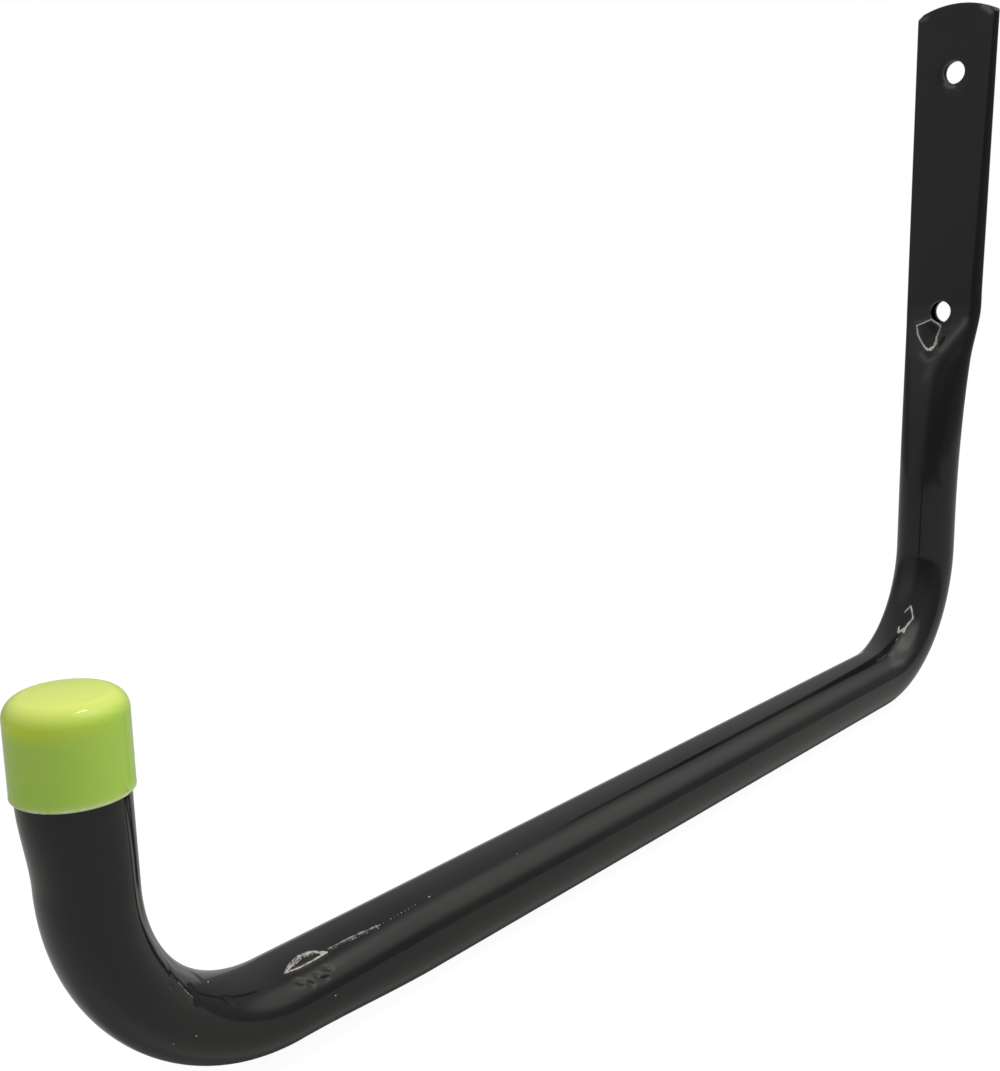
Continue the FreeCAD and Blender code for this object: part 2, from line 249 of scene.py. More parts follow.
@dataclass(frozen=True)
class PressedOutline:
    """Section of the pressed end at a height, drawn in from the outer skin by an inset."""

    sizes: TubeSizes
    z: float
    inset: float = 0.0
    fine: int = 48

    def parts(self) -> tuple[float, float, float, float]:
        """Half width, half depth, side radius and how far past the lower screw hole the section lies."""
        sizes = self.sizes
        depth = sizes.depth(self.z)
        flat = sizes.press_spread * math.pi * (sizes.diameter - depth) / 4.0
        low_flat = sizes.press_spread * math.pi * (sizes.diameter - sizes.low_depth) / 4.0
        roundness = 1.0 - min(flat / low_flat, 1.0) ** 2
        rise = depth / 2.0 - self.inset
        past = float(np.clip((sizes.lower_screw_z - self.z) / sizes.valley_length, 0.0, 1.0))
        return rise + flat, rise, rise - roundness * flat * sizes.side_share, past

    def oval(self) -> tuple[np.ndarray, np.ndarray, float]:
        """Four-arc oval.

        Returns:
            Points across and out, from the back's middle round one side to the face's middle, and where
            the side round meets the face.
        """
        half_width, rise, side, _ = self.parts()
        reach = half_width - side
        gap = rise - side
        if abs(gap) < TINY:
            join = (reach, rise)
        else:
            spread = (reach ** 2 + rise ** 2 - side ** 2) / (2.0 * gap) - side
            join = (reach + side * reach / spread, side * (spread - gap) / spread)
        turn = math.atan2(join[1], join[0] - reach)
        angles = np.linspace(-turn, turn, self.fine)
        side_x, side_out = reach + side * np.cos(angles), side * np.sin(angles)
        if rise - join[1] < TINY:
            crown_x = np.linspace(join[0], 0.0, self.fine)
            crown_out = np.full_like(crown_x, rise)
        else:
            radius = (join[0] ** 2 + (rise - join[1]) ** 2) / (2.0 * (rise - join[1]))
            angles = np.linspace(math.asin(min(join[0] / radius, 1.0)), 0.0, self.fine)
            crown_x, crown_out = radius * np.sin(angles), rise - radius + radius * np.cos(angles)
        across = np.concatenate([crown_x[::-1][:-1], side_x, crown_x[1:]])
        out = np.concatenate([-crown_out[::-1][:-1], side_out, crown_out[1:]])
        return across, out, join[0]

    def valley(self, across: np.ndarray, join: float) -> np.ndarray:
        """How far the face lies below the oval, across its width.

        Args:
            across: Places across the face.
            join: Half width of the face, between the swelling sides.

        Returns:
            The recess at each place.
        """
        past = self.parts()[3]
        deep = self.sizes.valley_recess * smooth(2.0 * past) * smooth(2.0 * (1.0 - past))
        reach = join * (1.0 - past) + self.sizes.wall * past
        share = np.clip(np.abs(across) / reach, 0.0, 1.0)
        return deep * (1.0 - share ** 2) ** 2

    def points(self, places: np.ndarray) -> tuple[np.ndarray, np.ndarray]:
        """Whole outline at given places round it.

        Args:
            places: Shares of the girth, from the middle of the back.

        Returns:
            Places across, and out from the section's middle.
        """
        across, out, join = self.oval()
        face = np.arange(len(out)) >= len(out) - self.fine
        dense = np.linspace(across[face][0], 0.0, 4 * self.fine)
        dense_out = np.interp(dense[::-1], across[face][::-1], out[face][::-1])[::-1]
        dense_out = dense_out - self.valley(dense, join)
        across = np.concatenate([across[~face], dense])
        out = np.concatenate([out[~face], dense_out])
        across = np.concatenate([across, -across[::-1][1:]])
        out = np.concatenate([out, out[::-1][1:]])
        length = np.concatenate([[0.0], np.cumsum(np.hypot(np.diff(across), np.diff(out)))])
        return (np.interp(places * length[-1], length, across),
                np.interp(places * length[-1], length, out))


@dataclass(frozen=True)
class Mark:
    """A line that the tools left in the skin: a ridge, or a groove where its height is negative.

    It is seen from the direction that it faces, and has the same width all along. Its two shares paint a
    highlight on it: the first in a grey like rubbed paint, the second in a lighter tone.
    """

    line: tuple[Point, ...]
    facing: Point
    width: float
    height: float
    worn_and_highlight: float = 0.0
    pale: float = 0.0
    closed: bool = False
    deep: float = 4.0

    def nearness(self, points: np.ndarray) -> np.ndarray:
        """How near each point lies to the line, from 1 on it to 0 away from it."""
        axis = np.array(self.facing) / np.linalg.norm(self.facing)
        corners = np.array(self.line + self.line[:1] if self.closed else self.line)
        least = np.full(len(points), np.inf)
        if len(corners) == 1:
            corners = np.concatenate([corners, corners])
        for start, stop in zip(corners[:-1], corners[1:]):
            run = stop - start
            away = points - start
            share = np.clip(away @ run / max(run @ run, TINY), 0.0, 1.0)
            away = away - share[:, None] * run
            sunk = away @ axis
            flat = np.linalg.norm(away - sunk[:, None] * axis, axis=1)
            least = np.minimum(least, np.where(np.abs(sunk) < self.deep, flat, np.inf))
        return np.exp(-np.minimum(least / self.width, 9.0) ** 2)


class Side(Enum):
    """Which skin of the tube a grid follows."""

    OUTER = 0
    BORE = 1


@dataclass(frozen=True)
class Facet:
    """A flat that the shear pinched into a corner."""

    place: Point
    facing: Point
    reach: float = 7.0

    def press(self, points: np.ndarray) -> np.ndarray:
        """Push what stands proud of the flat back onto it."""
        axis = np.array(self.facing) / np.linalg.norm(self.facing)
        away = points - np.array(self.place)
        proud = np.where(np.linalg.norm(away, axis=1) < self.reach, np.maximum(away @ axis, 0.0), 0.0)
        return points - proud[:, None] * axis


@dataclass(frozen=True)
class PressMarks:
    """Everything that pressing and bending left in the skin, measured on the photograph, and the highlights
    painted on the marks.
    """

    # Shares after a mark's height paint its highlight: the bright outline of the pressed shield, the light
    # streaks and glow below it and on the wall bend, the glints at the top corners, the crescent in the upper
    # hole and the outline near the tip bend.
    marks: tuple[Mark, ...] = (
        Mark(((-7.36, -7.0, -43.8), (-2.67, -6.1, -41.55), (0.71, -5.9, -43.7), (0.13, -8.8, -49.9),
              (-0.5, -10.2, -51.3), (-1.6, -10.6, -51.8), (-2.7, -10.3, -51.0), (-4.16, -9.6, -49.3),
              (-6.32, -8.3, -46.75)), (0.0, -0.9, 0.43), 0.5, 0.07, worn_and_highlight=0.3, closed=True),
        Mark(((-7.96, -6.6, -42.45), (-5.89, -6.5, -42.1), (-3.97, -6.05, -41.1)),
             (0.0, -0.9, 0.43), 0.6, 0.03, pale=0.35),
        Mark(((-3.6, -10.9, -53.2), (-0.9, -12.2, -55.6), (1.4, -11.9, -54.2)),
             (0.0, -0.9, 0.43), 1.0, 0.02, pale=0.6),
        Mark(((9.3, -6.35, -41.6), (8.68, -6.7, -43.2), (5.88, -8.6, -47.5), (3.18, -10.8, -51.75)),
             (0.3, -0.9, 0.31), 1.05, 0.02, pale=0.95),
        Mark(((3.18, -10.8, -51.75), (0.6, -12.4, -56.5), (-0.6, -13.4, -61.0)), (0.1, -0.95, 0.2), 1.5, 0.0,
             pale=0.35),
        Mark(((-5.0, -5.2, -37.5), (-3.6, -5.0, -36.0)), (0.0, -1.0, 0.0), 1.6, -0.03),
        Mark(((10.6, -2.7, 57.9), (8.6, -2.7, 58.6), (11.4, -2.7, 56.6)),
             (0.0, -1.0, 0.0), 0.75, -0.04, worn_and_highlight=1.0, pale=0.9),
        Mark(((-12.0, -2.7, 56.9), (-10.4, -2.7, 57.2)), (0.0, -1.0, 0.0), 0.7, -0.04, worn_and_highlight=0.5, pale=0.7),
        Mark(((-2.6, -3.0, 35.6), (-1.6, -3.0, 34.6), (0.4, -3.0, 34.4)),
             (0.0, -1.0, 0.0), 0.6, 0.0, worn_and_highlight=0.8, pale=0.8),
        Mark(((8.85, -8.9, -49.7), (5.95, -11.3, -54.6), (4.1, -12.9, -59.6), (3.5, -14.7, -67.9),
              (5.05, -16.1, -81.2), (7.15, -15.5, -94.8)), (0.35, -0.92, 0.15), 1.3, -0.1),
        Mark(((-2.2, -46.8, -149.4), (0.98, -46.75, -149.2), (3.85, -46.0, -149.9), (5.9, -43.5, -150.8)),
             (0.2, -0.6, 0.77), 0.5, -0.05),
        Mark(((1.3, -26.9, -139.6), (2.5, -25.0, -137.7), (4.4, -27.1, -141.2), (3.4, -31.0, -144.0),
              (2.2, -33.8, -145.3), (1.5, -31.7, -143.8)), (0.3, -0.72, 0.62), 0.45, 0.02, worn_and_highlight=0.3),
        Mark(((4.6, -44.6, -150.1), (4.0, -38.9, -148.4), (4.65, -35.0, -147.1)),
             (0.3, -0.5, 0.8), 1.0, 0.03, pale=0.55),
        Mark(((7.1, -47.5, -152.4), (7.9, -41.6, -152.6)), (0.6, -0.4, 0.7), 0.9, 0.03, pale=0.4),
        Mark(((3.0, -19.7, -127.7), (3.0, -21.7, -132.7)), (0.33, -0.85, 0.4), 0.5, -0.06),
        Mark(((4.5, -305.5, -150.4), (3.6, -303.0, -150.1), (2.8, -300.2, -149.8), (3.1, -297.4, -149.9),
              (4.7, -295.2, -150.5), (4.9, -298.8, -150.6), (4.9, -302.1, -150.6)),
             (0.45, 0.0, 0.89), 0.45, 0.08, worn_and_highlight=0.35, closed=True),
        Mark(((3.7, -298.0, -150.1),), (0.45, 0.0, 0.89), 0.5, -0.35),
        Mark(((6.8, -304.3, -151.8), (7.3, -303.7, -152.2)), (0.7, 0.0, 0.7), 0.42, -0.26),
        Mark(((7.7, -302.4, -152.6), (8.2, -301.9, -153.1)), (0.8, 0.0, 0.6), 0.4, -0.26),
        Mark(((7.3, -300.0, -152.2), (8.1, -299.6, -153.0), (8.3, -298.3, -153.2)),
             (0.8, 0.0, 0.6), 0.4, -0.24),
        Mark(((7.0, -297.6, -151.9), (7.4, -296.6, -152.3)), (0.7, 0.0, 0.7), 0.4, -0.18),
        Mark(((7.5, -334.9, -131.9), (7.0, -333.1, -134.7), (8.9, -333.6, -138.0)),
             (0.8, 0.5, 0.3), 0.5, -0.08),
        Mark(((7.3, -328.9, -141.3), (8.8, -328.9, -143.6)), (0.8, 0.5, 0.3), 0.5, -0.08),
        Mark(((8.0, -331.0, -139.0), (9.0, -331.5, -141.5)), (0.8, 0.5, 0.3), 0.5, 0.06),
        Mark(((8.3, -339.0, -103.0), (8.4, -338.5, -107.0), (8.3, -338.5, -112.0), (8.6, -338.6, -117.3),
              (8.2, -337.7, -124.0), (7.0, -335.5, -129.0), (5.4, -330.6, -137.4), (3.7, -325.2, -142.2)),
             (0.87, 0.49, 0.0), 0.9, -0.14, deep=7.0),
        Mark(((-1.9, -206.9, -149.4), (-0.6, -212.0, -149.2), (0.0, -215.3, -149.2)),
             (0.0, 0.0, 1.0), 0.5, -0.08),
        Mark(((9.0, -334.4, -137.2), (9.3, -333.7, -138.9)), (0.87, 0.43, 0.24), 0.42, -0.14),
        Mark(((7.8, -329.0, -141.4), (9.0, -329.7, -143.6)), (0.8, 0.45, 0.4), 0.5, -0.16),
        Mark(((7.5, -321.4, -147.4), (7.9, -321.0, -148.7)), (0.72, 0.35, 0.6), 0.42, -0.13),
        Mark(((10.1, -327.0, -150.2), (10.1, -327.4, -151.2)), (1.0, 0.0, 0.0), 0.42, -0.1),
        Mark(((10.0, -324.3, -150.8),), (1.0, 0.0, 0.0), 0.42, -0.1),
        Mark(((8.9, -277.9, -155.0), (8.9, -277.3, -155.1)), (0.91, 0.0, 0.42), 0.38, -0.13),
    )
    corners: tuple[Facet, ...] = (
        Facet((12.9, -1.9, 57.1), (0.62, -0.55, 0.56)),
        Facet((-12.95, -1.9, 57.1), (-0.62, -0.55, 0.56)),
    )

    def lift(self, points: np.ndarray) -> np.ndarray:
        """How far the marks lift each point of the skin."""
        total = np.zeros(len(points))
        for mark in self.marks:
            total += mark.height * mark.nearness(points)
        return total

    def wear(self, points: np.ndarray) -> tuple[np.ndarray, np.ndarray]:
        """The two shares of painted highlight that the marks put at each point, from 0 to 1."""
        worn_and_highlight, pale = np.zeros(len(points)), np.zeros(len(points))
        for mark in self.marks:
            if mark.worn_and_highlight or mark.pale:
                near = mark.nearness(points)
                worn_and_highlight = np.maximum(worn_and_highlight, mark.worn_and_highlight * near)
                pale = np.maximum(pale, mark.pale * near)
        return worn_and_highlight, pale


@dataclass
class HookTube:
    """The bent tube: its skins, marks, holes and finish."""

    sizes: TubeSizes = field(default_factory=TubeSizes)
    around: int = 148
    rim: float = 0.3
    rim_steps: int = 4
    bore_coarse: float = 7.0
    dense_side: float = 0.40
    dense_reach: float = 0.17
    dense_gain: float = 1.1
    arc_fade: float = 14.0
    drill_back: float = 3.0
    drill_front: float = -16.0
    # Rubbed paint with a painted highlight on it at the hole rims and the top edge, and how far it reaches.
    hole_wear_and_highlight: tuple[float, float] = (0.5, 0.3)
    top_wear_and_highlight: float = 0.6
    wear_and_highlight_reach: float = 0.45
    marks: PressMarks = field(default_factory=PressMarks)

    def places(self) -> np.ndarray:
        """Shares of the girth where the grid's lines run, closer together on the side with the marks."""
        dense = np.linspace(0.0, 1.0, 2001)
        weight = 1.0 + self.dense_gain * np.exp(-((dense - self.dense_side) / self.dense_reach) ** 2)
        total = np.concatenate([[0.0], np.cumsum((weight[1:] + weight[:-1]) / 2.0)])
        return np.interp(np.arange(self.around) / self.around, total / total[-1], dense)

    def arc_drop(self, across: np.ndarray) -> np.ndarray:
        """How far the arc that the top is cut to lies below its crest."""
        sizes = self.sizes
        top_half = PressedOutline(sizes, sizes.top_z).parts()[0]
        arc = (top_half ** 2 + sizes.top_arc_rise ** 2) / (2.0 * sizes.top_arc_rise)
        return arc - np.sqrt(np.maximum(arc ** 2 - across ** 2, 0.0))

    def pressed_rings(self, side: Side) -> list[np.ndarray]:
        """Rings of the pressed end, from the top's arc down to the round tube."""
        sizes, places = self.sizes, self.places()
        bore = side is Side.BORE
        low = sizes.lower_screw_z
        edge = [] if bore else [(self.rim * (1.0 - math.sin(turn)), self.rim * (1.0 - math.cos(turn)))
                                for turn in np.linspace(0.0, QUARTER, self.rim_steps, endpoint=False)]
        start = sizes.top_z if bore else sizes.top_z - self.rim
        rows = paced(((start, sizes.top_z - 7.0, 0.35), (sizes.top_z - 7.0, sizes.upper_screw_z + 6.5, 1.0),
                      (sizes.upper_screw_z + 6.5, sizes.upper_screw_z - 6.5, 0.4),
                      (sizes.upper_screw_z - 6.5, low + 5.0, 3.0),
                      (low + 5.0, sizes.valley_end_z - 1.0, 0.28),
                      (sizes.valley_end_z - 1.0, sizes.valley_end_z - 12.0, 0.8),
                      (sizes.valley_end_z - 12.0, sizes.round_top_z, 2.0)), self.bore_coarse if bore else 1.0)
        steps = [(inset, sizes.top_z - drop) for inset, drop in edge]
        steps += [(sizes.wall if bore else 0.0, float(z)) for z in rows]
        rings = []
        for inset, z in steps:
            across, out = PressedOutline(sizes, z, inset).points(places)
            fade = smooth(1.0 - (sizes.top_z - z) / self.arc_fade)
            rings.append(np.stack([across, -sizes.depth(z) / 2.0 - out, z - self.arc_drop(across) * fade],
                                  axis=1))
        return rings

    def path(self, coarse: float) -> list[tuple[float, float, float, float]]:
        """Centre line below the pressed end.

        Args:
            coarse: What the spacing of its points is multiplied by.

        Returns:
            The place out from the wall and up, the heading and the squash at each point.
        """
        sizes = self.sizes
        steps: list[tuple[float, float, float, float]] = []
        out, up = sizes.wall_bend_centre
        for z in paced(((sizes.round_top_z, up, 2.0),), coarse):
            steps.append((-sizes.radius, float(z), 0.0, 0.0))
        for run in paced(((0.0, sizes.wall_bend_radius * QUARTER, 0.8),), coarse):
            turn = float(run) / sizes.wall_bend_radius
            steps.append((out + sizes.wall_bend_radius * math.cos(turn),
                          up - sizes.wall_bend_radius * math.sin(turn), turn, 0.0))
        tip_out, tip_up = sizes.tip_bend_centre
        for y in paced(((out, tip_out + 80.0, 4.0), (tip_out + 80.0, tip_out + 50.0, 2.5),
                        (tip_out + 50.0, tip_out + 23.0, 1.0), (tip_out + 23.0, tip_out, 0.45)), coarse):
            share = smooth((tip_out + sizes.squash_run - float(y)) / sizes.squash_run)
            steps.append((float(y), sizes.arm_z, QUARTER, sizes.bend_squash[0] * share))
        for run in paced(((0.0, sizes.tip_bend_radius * QUARTER, 0.8),), coarse):
            turn = float(run) / sizes.tip_bend_radius
            steps.append((tip_out - sizes.tip_bend_radius * math.sin(turn),
                          tip_up - sizes.tip_bend_radius * math.cos(turn), QUARTER + turn,
                          sizes.bend_share(turn / QUARTER)))
        tip_rows = paced(((tip_up, tip_up + sizes.tip_open_run, 1.0),
                          (tip_up + sizes.tip_open_run, sizes.tip_end_z, 5.0)), coarse)
        for z in np.append(tip_rows, sizes.tip_end_z):
            share = smooth((float(z) - tip_up) / sizes.tip_open_run)
            steps.append((sizes.tip_y, float(z), math.pi, sizes.bend_squash[2] * (1.0 - share)))
        return steps

    def round_rings(self, side: Side) -> list[np.ndarray]:
        """Rings of the tube from the round upright round both bends to the tip's end."""
        sizes = self.sizes
        inset = sizes.wall if side is Side.BORE else 0.0
        angles = 2.0 * math.pi * self.places()
        rings = []
        for y, z, heading, squash in self.path(self.bore_coarse if side is Side.BORE else 1.0):
            across = (sizes.radius * (1.0 + sizes.squash_spread * squash) - inset) * np.sin(angles)
            out = sizes.radius * sizes.squash_shift * squash
            out = out - (sizes.radius * (1.0 - squash) - inset) * np.cos(angles)
            rings.append(np.stack([across, y - math.cos(heading) * out, z + math.sin(heading) * out], axis=1))
        return rings

    def grid(self, side: Side) -> np.ndarray:
        """All rings of a skin as one array: ring, place round it, coordinate."""
        return np.array(self.pressed_rings(side) + self.round_rings(side))

    @staticmethod
    def directions(grid: np.ndarray) -> np.ndarray:
        """Outward directions of a grid's points."""
        down = np.gradient(grid, axis=0)
        round_it = np.roll(grid, -1, axis=1) - np.roll(grid, 1, axis=1)
        normal = np.cross(round_it, down)
        return normal / np.maximum(np.linalg.norm(normal, axis=2, keepdims=True), TINY)

    def bowl(self, points: np.ndarray) -> np.ndarray:
        """The face with the shallow bowl that the punch left round the upper screw hole."""
        sizes = self.sizes
        ball = (sizes.dimple_radius ** 2 + sizes.dimple_depth ** 2) / (2.0 * sizes.dimple_depth)
        centre = sizes.dimple_depth - sizes.depth(sizes.upper_screw_z) - ball
        away = np.hypot(points[:, 0], points[:, 2] - sizes.upper_screw_z)
        floor = centre + np.sqrt(np.maximum(ball ** 2 - away ** 2, 0.0))
        front = points[:, 1] < -sizes.depth(sizes.upper_screw_z) / 2.0
        on_face = (away < sizes.dimple_radius * 1.2) & front
        lifted = points.copy()
        lifted[:, 1] = np.where(on_face, np.maximum(points[:, 1], floor), points[:, 1])
        return lifted

    def marked(self, grid: np.ndarray) -> np.ndarray:
        """The outer skin with its dimple, pinched corners, ridges and grooves."""
        flat = self.bowl(grid.reshape(-1, 3))
        flat = flat + self.directions(grid).reshape(-1, 3) * self.marks.lift(flat)[:, None]
        for corner in self.marks.corners:
            flat = corner.press(flat)
        low, high = (np.array(corner) / MM for corner in CAD_BOX)
        return np.clip(flat, low, high).reshape(grid.shape)

    def shell(self) -> bpy.types.Mesh:
        """Closed shell of both skins, joined at the top and inside the cap."""
        outer = self.marked(self.grid(Side.OUTER))
        bore = self.grid(Side.BORE)
        around = self.around
        low = np.arange(around)
        high = np.roll(low, -1)

        def strip(first: int, second: int) -> np.ndarray:
            """Faces between two rings."""
            return np.stack([first * around + low, first * around + high, second * around + high,
                             second * around + low], axis=1)

        faces = [strip(ring, ring + 1) for ring in range(len(outer) - 1)]
        base = len(outer)
        faces += [strip(base + ring + 1, base + ring) for ring in range(len(bore) - 1)]
        faces += [strip(base, 0), strip(len(outer) - 1, base + len(bore) - 1)]
        verts = np.concatenate([outer.reshape(-1, 3), bore.reshape(-1, 3)]) * MM
        mesh = bpy.data.meshes.new("painted_tube")
        mesh.from_pydata(verts.tolist(), [], np.concatenate(faces).tolist())
        mesh.update()
        return mesh

    def face_y(self, across: float, z: float) -> float:
        """Where the face lies out from the wall, as a Y value, at a place on it."""
        places = np.linspace(0.26, 0.74, 240)
        xs, out = PressedOutline(self.sizes, z).points(places)
        y = -self.sizes.depth(z) / 2.0 - float(np.interp(-across, -xs, out))
        return float(self.bowl(np.array([[across, y, z]]))[0, 1])

    def drill(self, z: float, segments: int = 96, steps: int = 5) -> bpy.types.Mesh:
        """Cutter of a screw hole, which flares where it leaves the face so that the rim is rounded.

        Args:
            z: Height of the hole.
            segments: Points round it.
            steps: Rings in the rounding.

        Returns:
            The cutter's mesh.
        """
        radius = self.sizes.screw_hole / 2.0
        angles = np.linspace(0.0, 2.0 * math.pi, segments, endpoint=False)
        unit = np.stack([np.sin(angles), np.cos(angles)], axis=1)
        spots = unit * (radius + self.rim)
        face = np.array([self.face_y(float(x), z + float(up)) for x, up in spots])
        rings = [(radius, np.full(segments, self.drill_back))]
        for turn in np.linspace(0.0, QUARTER, steps):
            rings.append((radius + self.rim * (1.0 - math.cos(turn)),
                          face + self.rim * (1.0 - math.sin(turn))))
        rings.append((radius + self.rim, np.full(segments, self.drill_front)))
        verts = np.concatenate([
            np.stack([unit[:, 0] * reach, y, z + unit[:, 1] * reach], axis=1) for reach, y in rings]) * MM
        mesh = bpy.data.meshes.new("drill")
        shape = bmesh.new()
        points = [shape.verts.new(vert) for vert in verts.tolist()]
        for ring in range(len(rings) - 1):
            for place in range(segments):
                here, after = ring * segments + place, ring * segments + (place + 1) % segments
                shape.faces.new([points[spot] for spot in (here, after, after + segments, here + segments)])
        shape.faces.new(points[:segments])
        shape.faces.new(points[-segments:])
        bmesh.ops.recalc_face_normals(shape, faces=shape.faces)
        shape.to_mesh(mesh)
        shape.free()
        return mesh

    def wear_and_highlight_attribute(self, mesh: bpy.types.Mesh) -> None:
        """Write the shares of painted highlight and rubbed paint at each point: on the marks, the hole rims
        and the top edge.
        """
        points = np.empty(len(mesh.vertices) * 3)
        mesh.vertices.foreach_get("co", points)
        points = points.reshape(-1, 3) / MM
        sizes = self.sizes
        wear, pale = self.marks.wear(points)
        # The hole rims and the top edge get rubbed paint, lightened further as a painted highlight of their
        # rounded edges.
        for z, share in zip((sizes.upper_screw_z, sizes.lower_screw_z), self.hole_wear_and_highlight):
            away = np.hypot(points[:, 0], points[:, 2] - z) - sizes.screw_hole / 2.0
            front = points[:, 1] < -sizes.depth(z) / 2.0
            wear = np.maximum(wear, np.where(front, share * np.exp(-(away / self.wear_and_highlight_reach) ** 2), 0.0))
        below = sizes.top_z - self.arc_drop(points[:, 0]) - points[:, 2]
        wear = np.maximum(wear, self.top_wear_and_highlight * np.exp(-(below / self.rim) ** 2))
        write_shares(mesh, wear=wear, pale=pale)

    def build(self) -> bpy.types.Object:
        """Make the tube's object and drill its two screw holes."""
        tube = new_object("painted_tube", self.shell())
        make_outward(tube)
        for z in (self.sizes.upper_screw_z, self.sizes.lower_screw_z):
            drill = new_object("drill", self.drill(z))
            cut = tube.modifiers.new("screw_hole", "BOOLEAN")
            cut.operation = "DIFFERENCE"
            cut.solver = "EXACT"
            cut.object = drill
            apply_modifiers(tube)
            bpy.data.objects.remove(drill)
        self.wear_and_highlight_attribute(tube.data)
        shade(tube, 42.0)
        return tube


def new_object(name: str, mesh: bpy.types.Mesh) -> bpy.types.Object:
    """Link a mesh to the scene under a name."""
    item = bpy.data.objects.new(name, mesh)
    bpy.context.scene.collection.objects.link(item)
    return item


def apply_modifiers(item: bpy.types.Object) -> None:
    """Bake an object's modifiers into its mesh and remove them."""
    bpy.context.view_layer.update()
    graph = bpy.context.evaluated_depsgraph_get()
    mesh = bpy.data.meshes.new_from_object(item.evaluated_get(graph), depsgraph=graph)
    old = item.data
    item.modifiers.clear()
    item.data = mesh
    mesh.name = item.name
    if old.users == 0:
        bpy.data.meshes.remove(old)


def write_shares(mesh: bpy.types.Mesh, **shares: np.ndarray) -> None:
    """Write shares from 0 to 1 as named values of a mesh's points."""
    for name, values in shares.items():
        layer = mesh.attributes.new(name, "FLOAT", "POINT")
        layer.data.foreach_set("value", values.astype(np.float32))


def shade(item: bpy.types.Object, angle: float) -> None:
    """Shade smooth, with edges sharper than an angle kept crisp."""
    mesh = item.data
    mesh.polygons.foreach_set("use_smooth", [True] * len(mesh.polygons))
    mesh.set_sharp_from_angle(angle=math.radians(angle))
    mesh.update()


def make_outward(item: bpy.types.Object) -> None:
    """Point a closed mesh's faces outwards."""
    shape = bmesh.new()
    shape.from_mesh(item.data)
    bmesh.ops.recalc_face_normals(shape, faces=shape.faces)
    shape.to_mesh(item.data)
    shape.free()


@dataclass(frozen=True)
class CapSizes:
    """Sizes of the push-on cap, in the part's own measures."""

    clearance: float = 0.05
    wall: float = 0.7
    top: float = 2.5
    edge_radius: float = 3.55
    crown: float = 0.3
    lip_height: float = 0.5
    lip_growth: float = 0.04
    lip_radius: float = 0.22
    parting_turn: float = 118.0
    parting_depth: float = 0.11
    parting_step: float = 0.05
    parting_width: float = 0.16
    # Where the painted glow lies: its drop below the tube's end, its reach and the side it favours.
    painted_glow_drop: float = 1.2
    painted_glow_reach: float = 1.8
    painted_glow_turn: float = -20.0


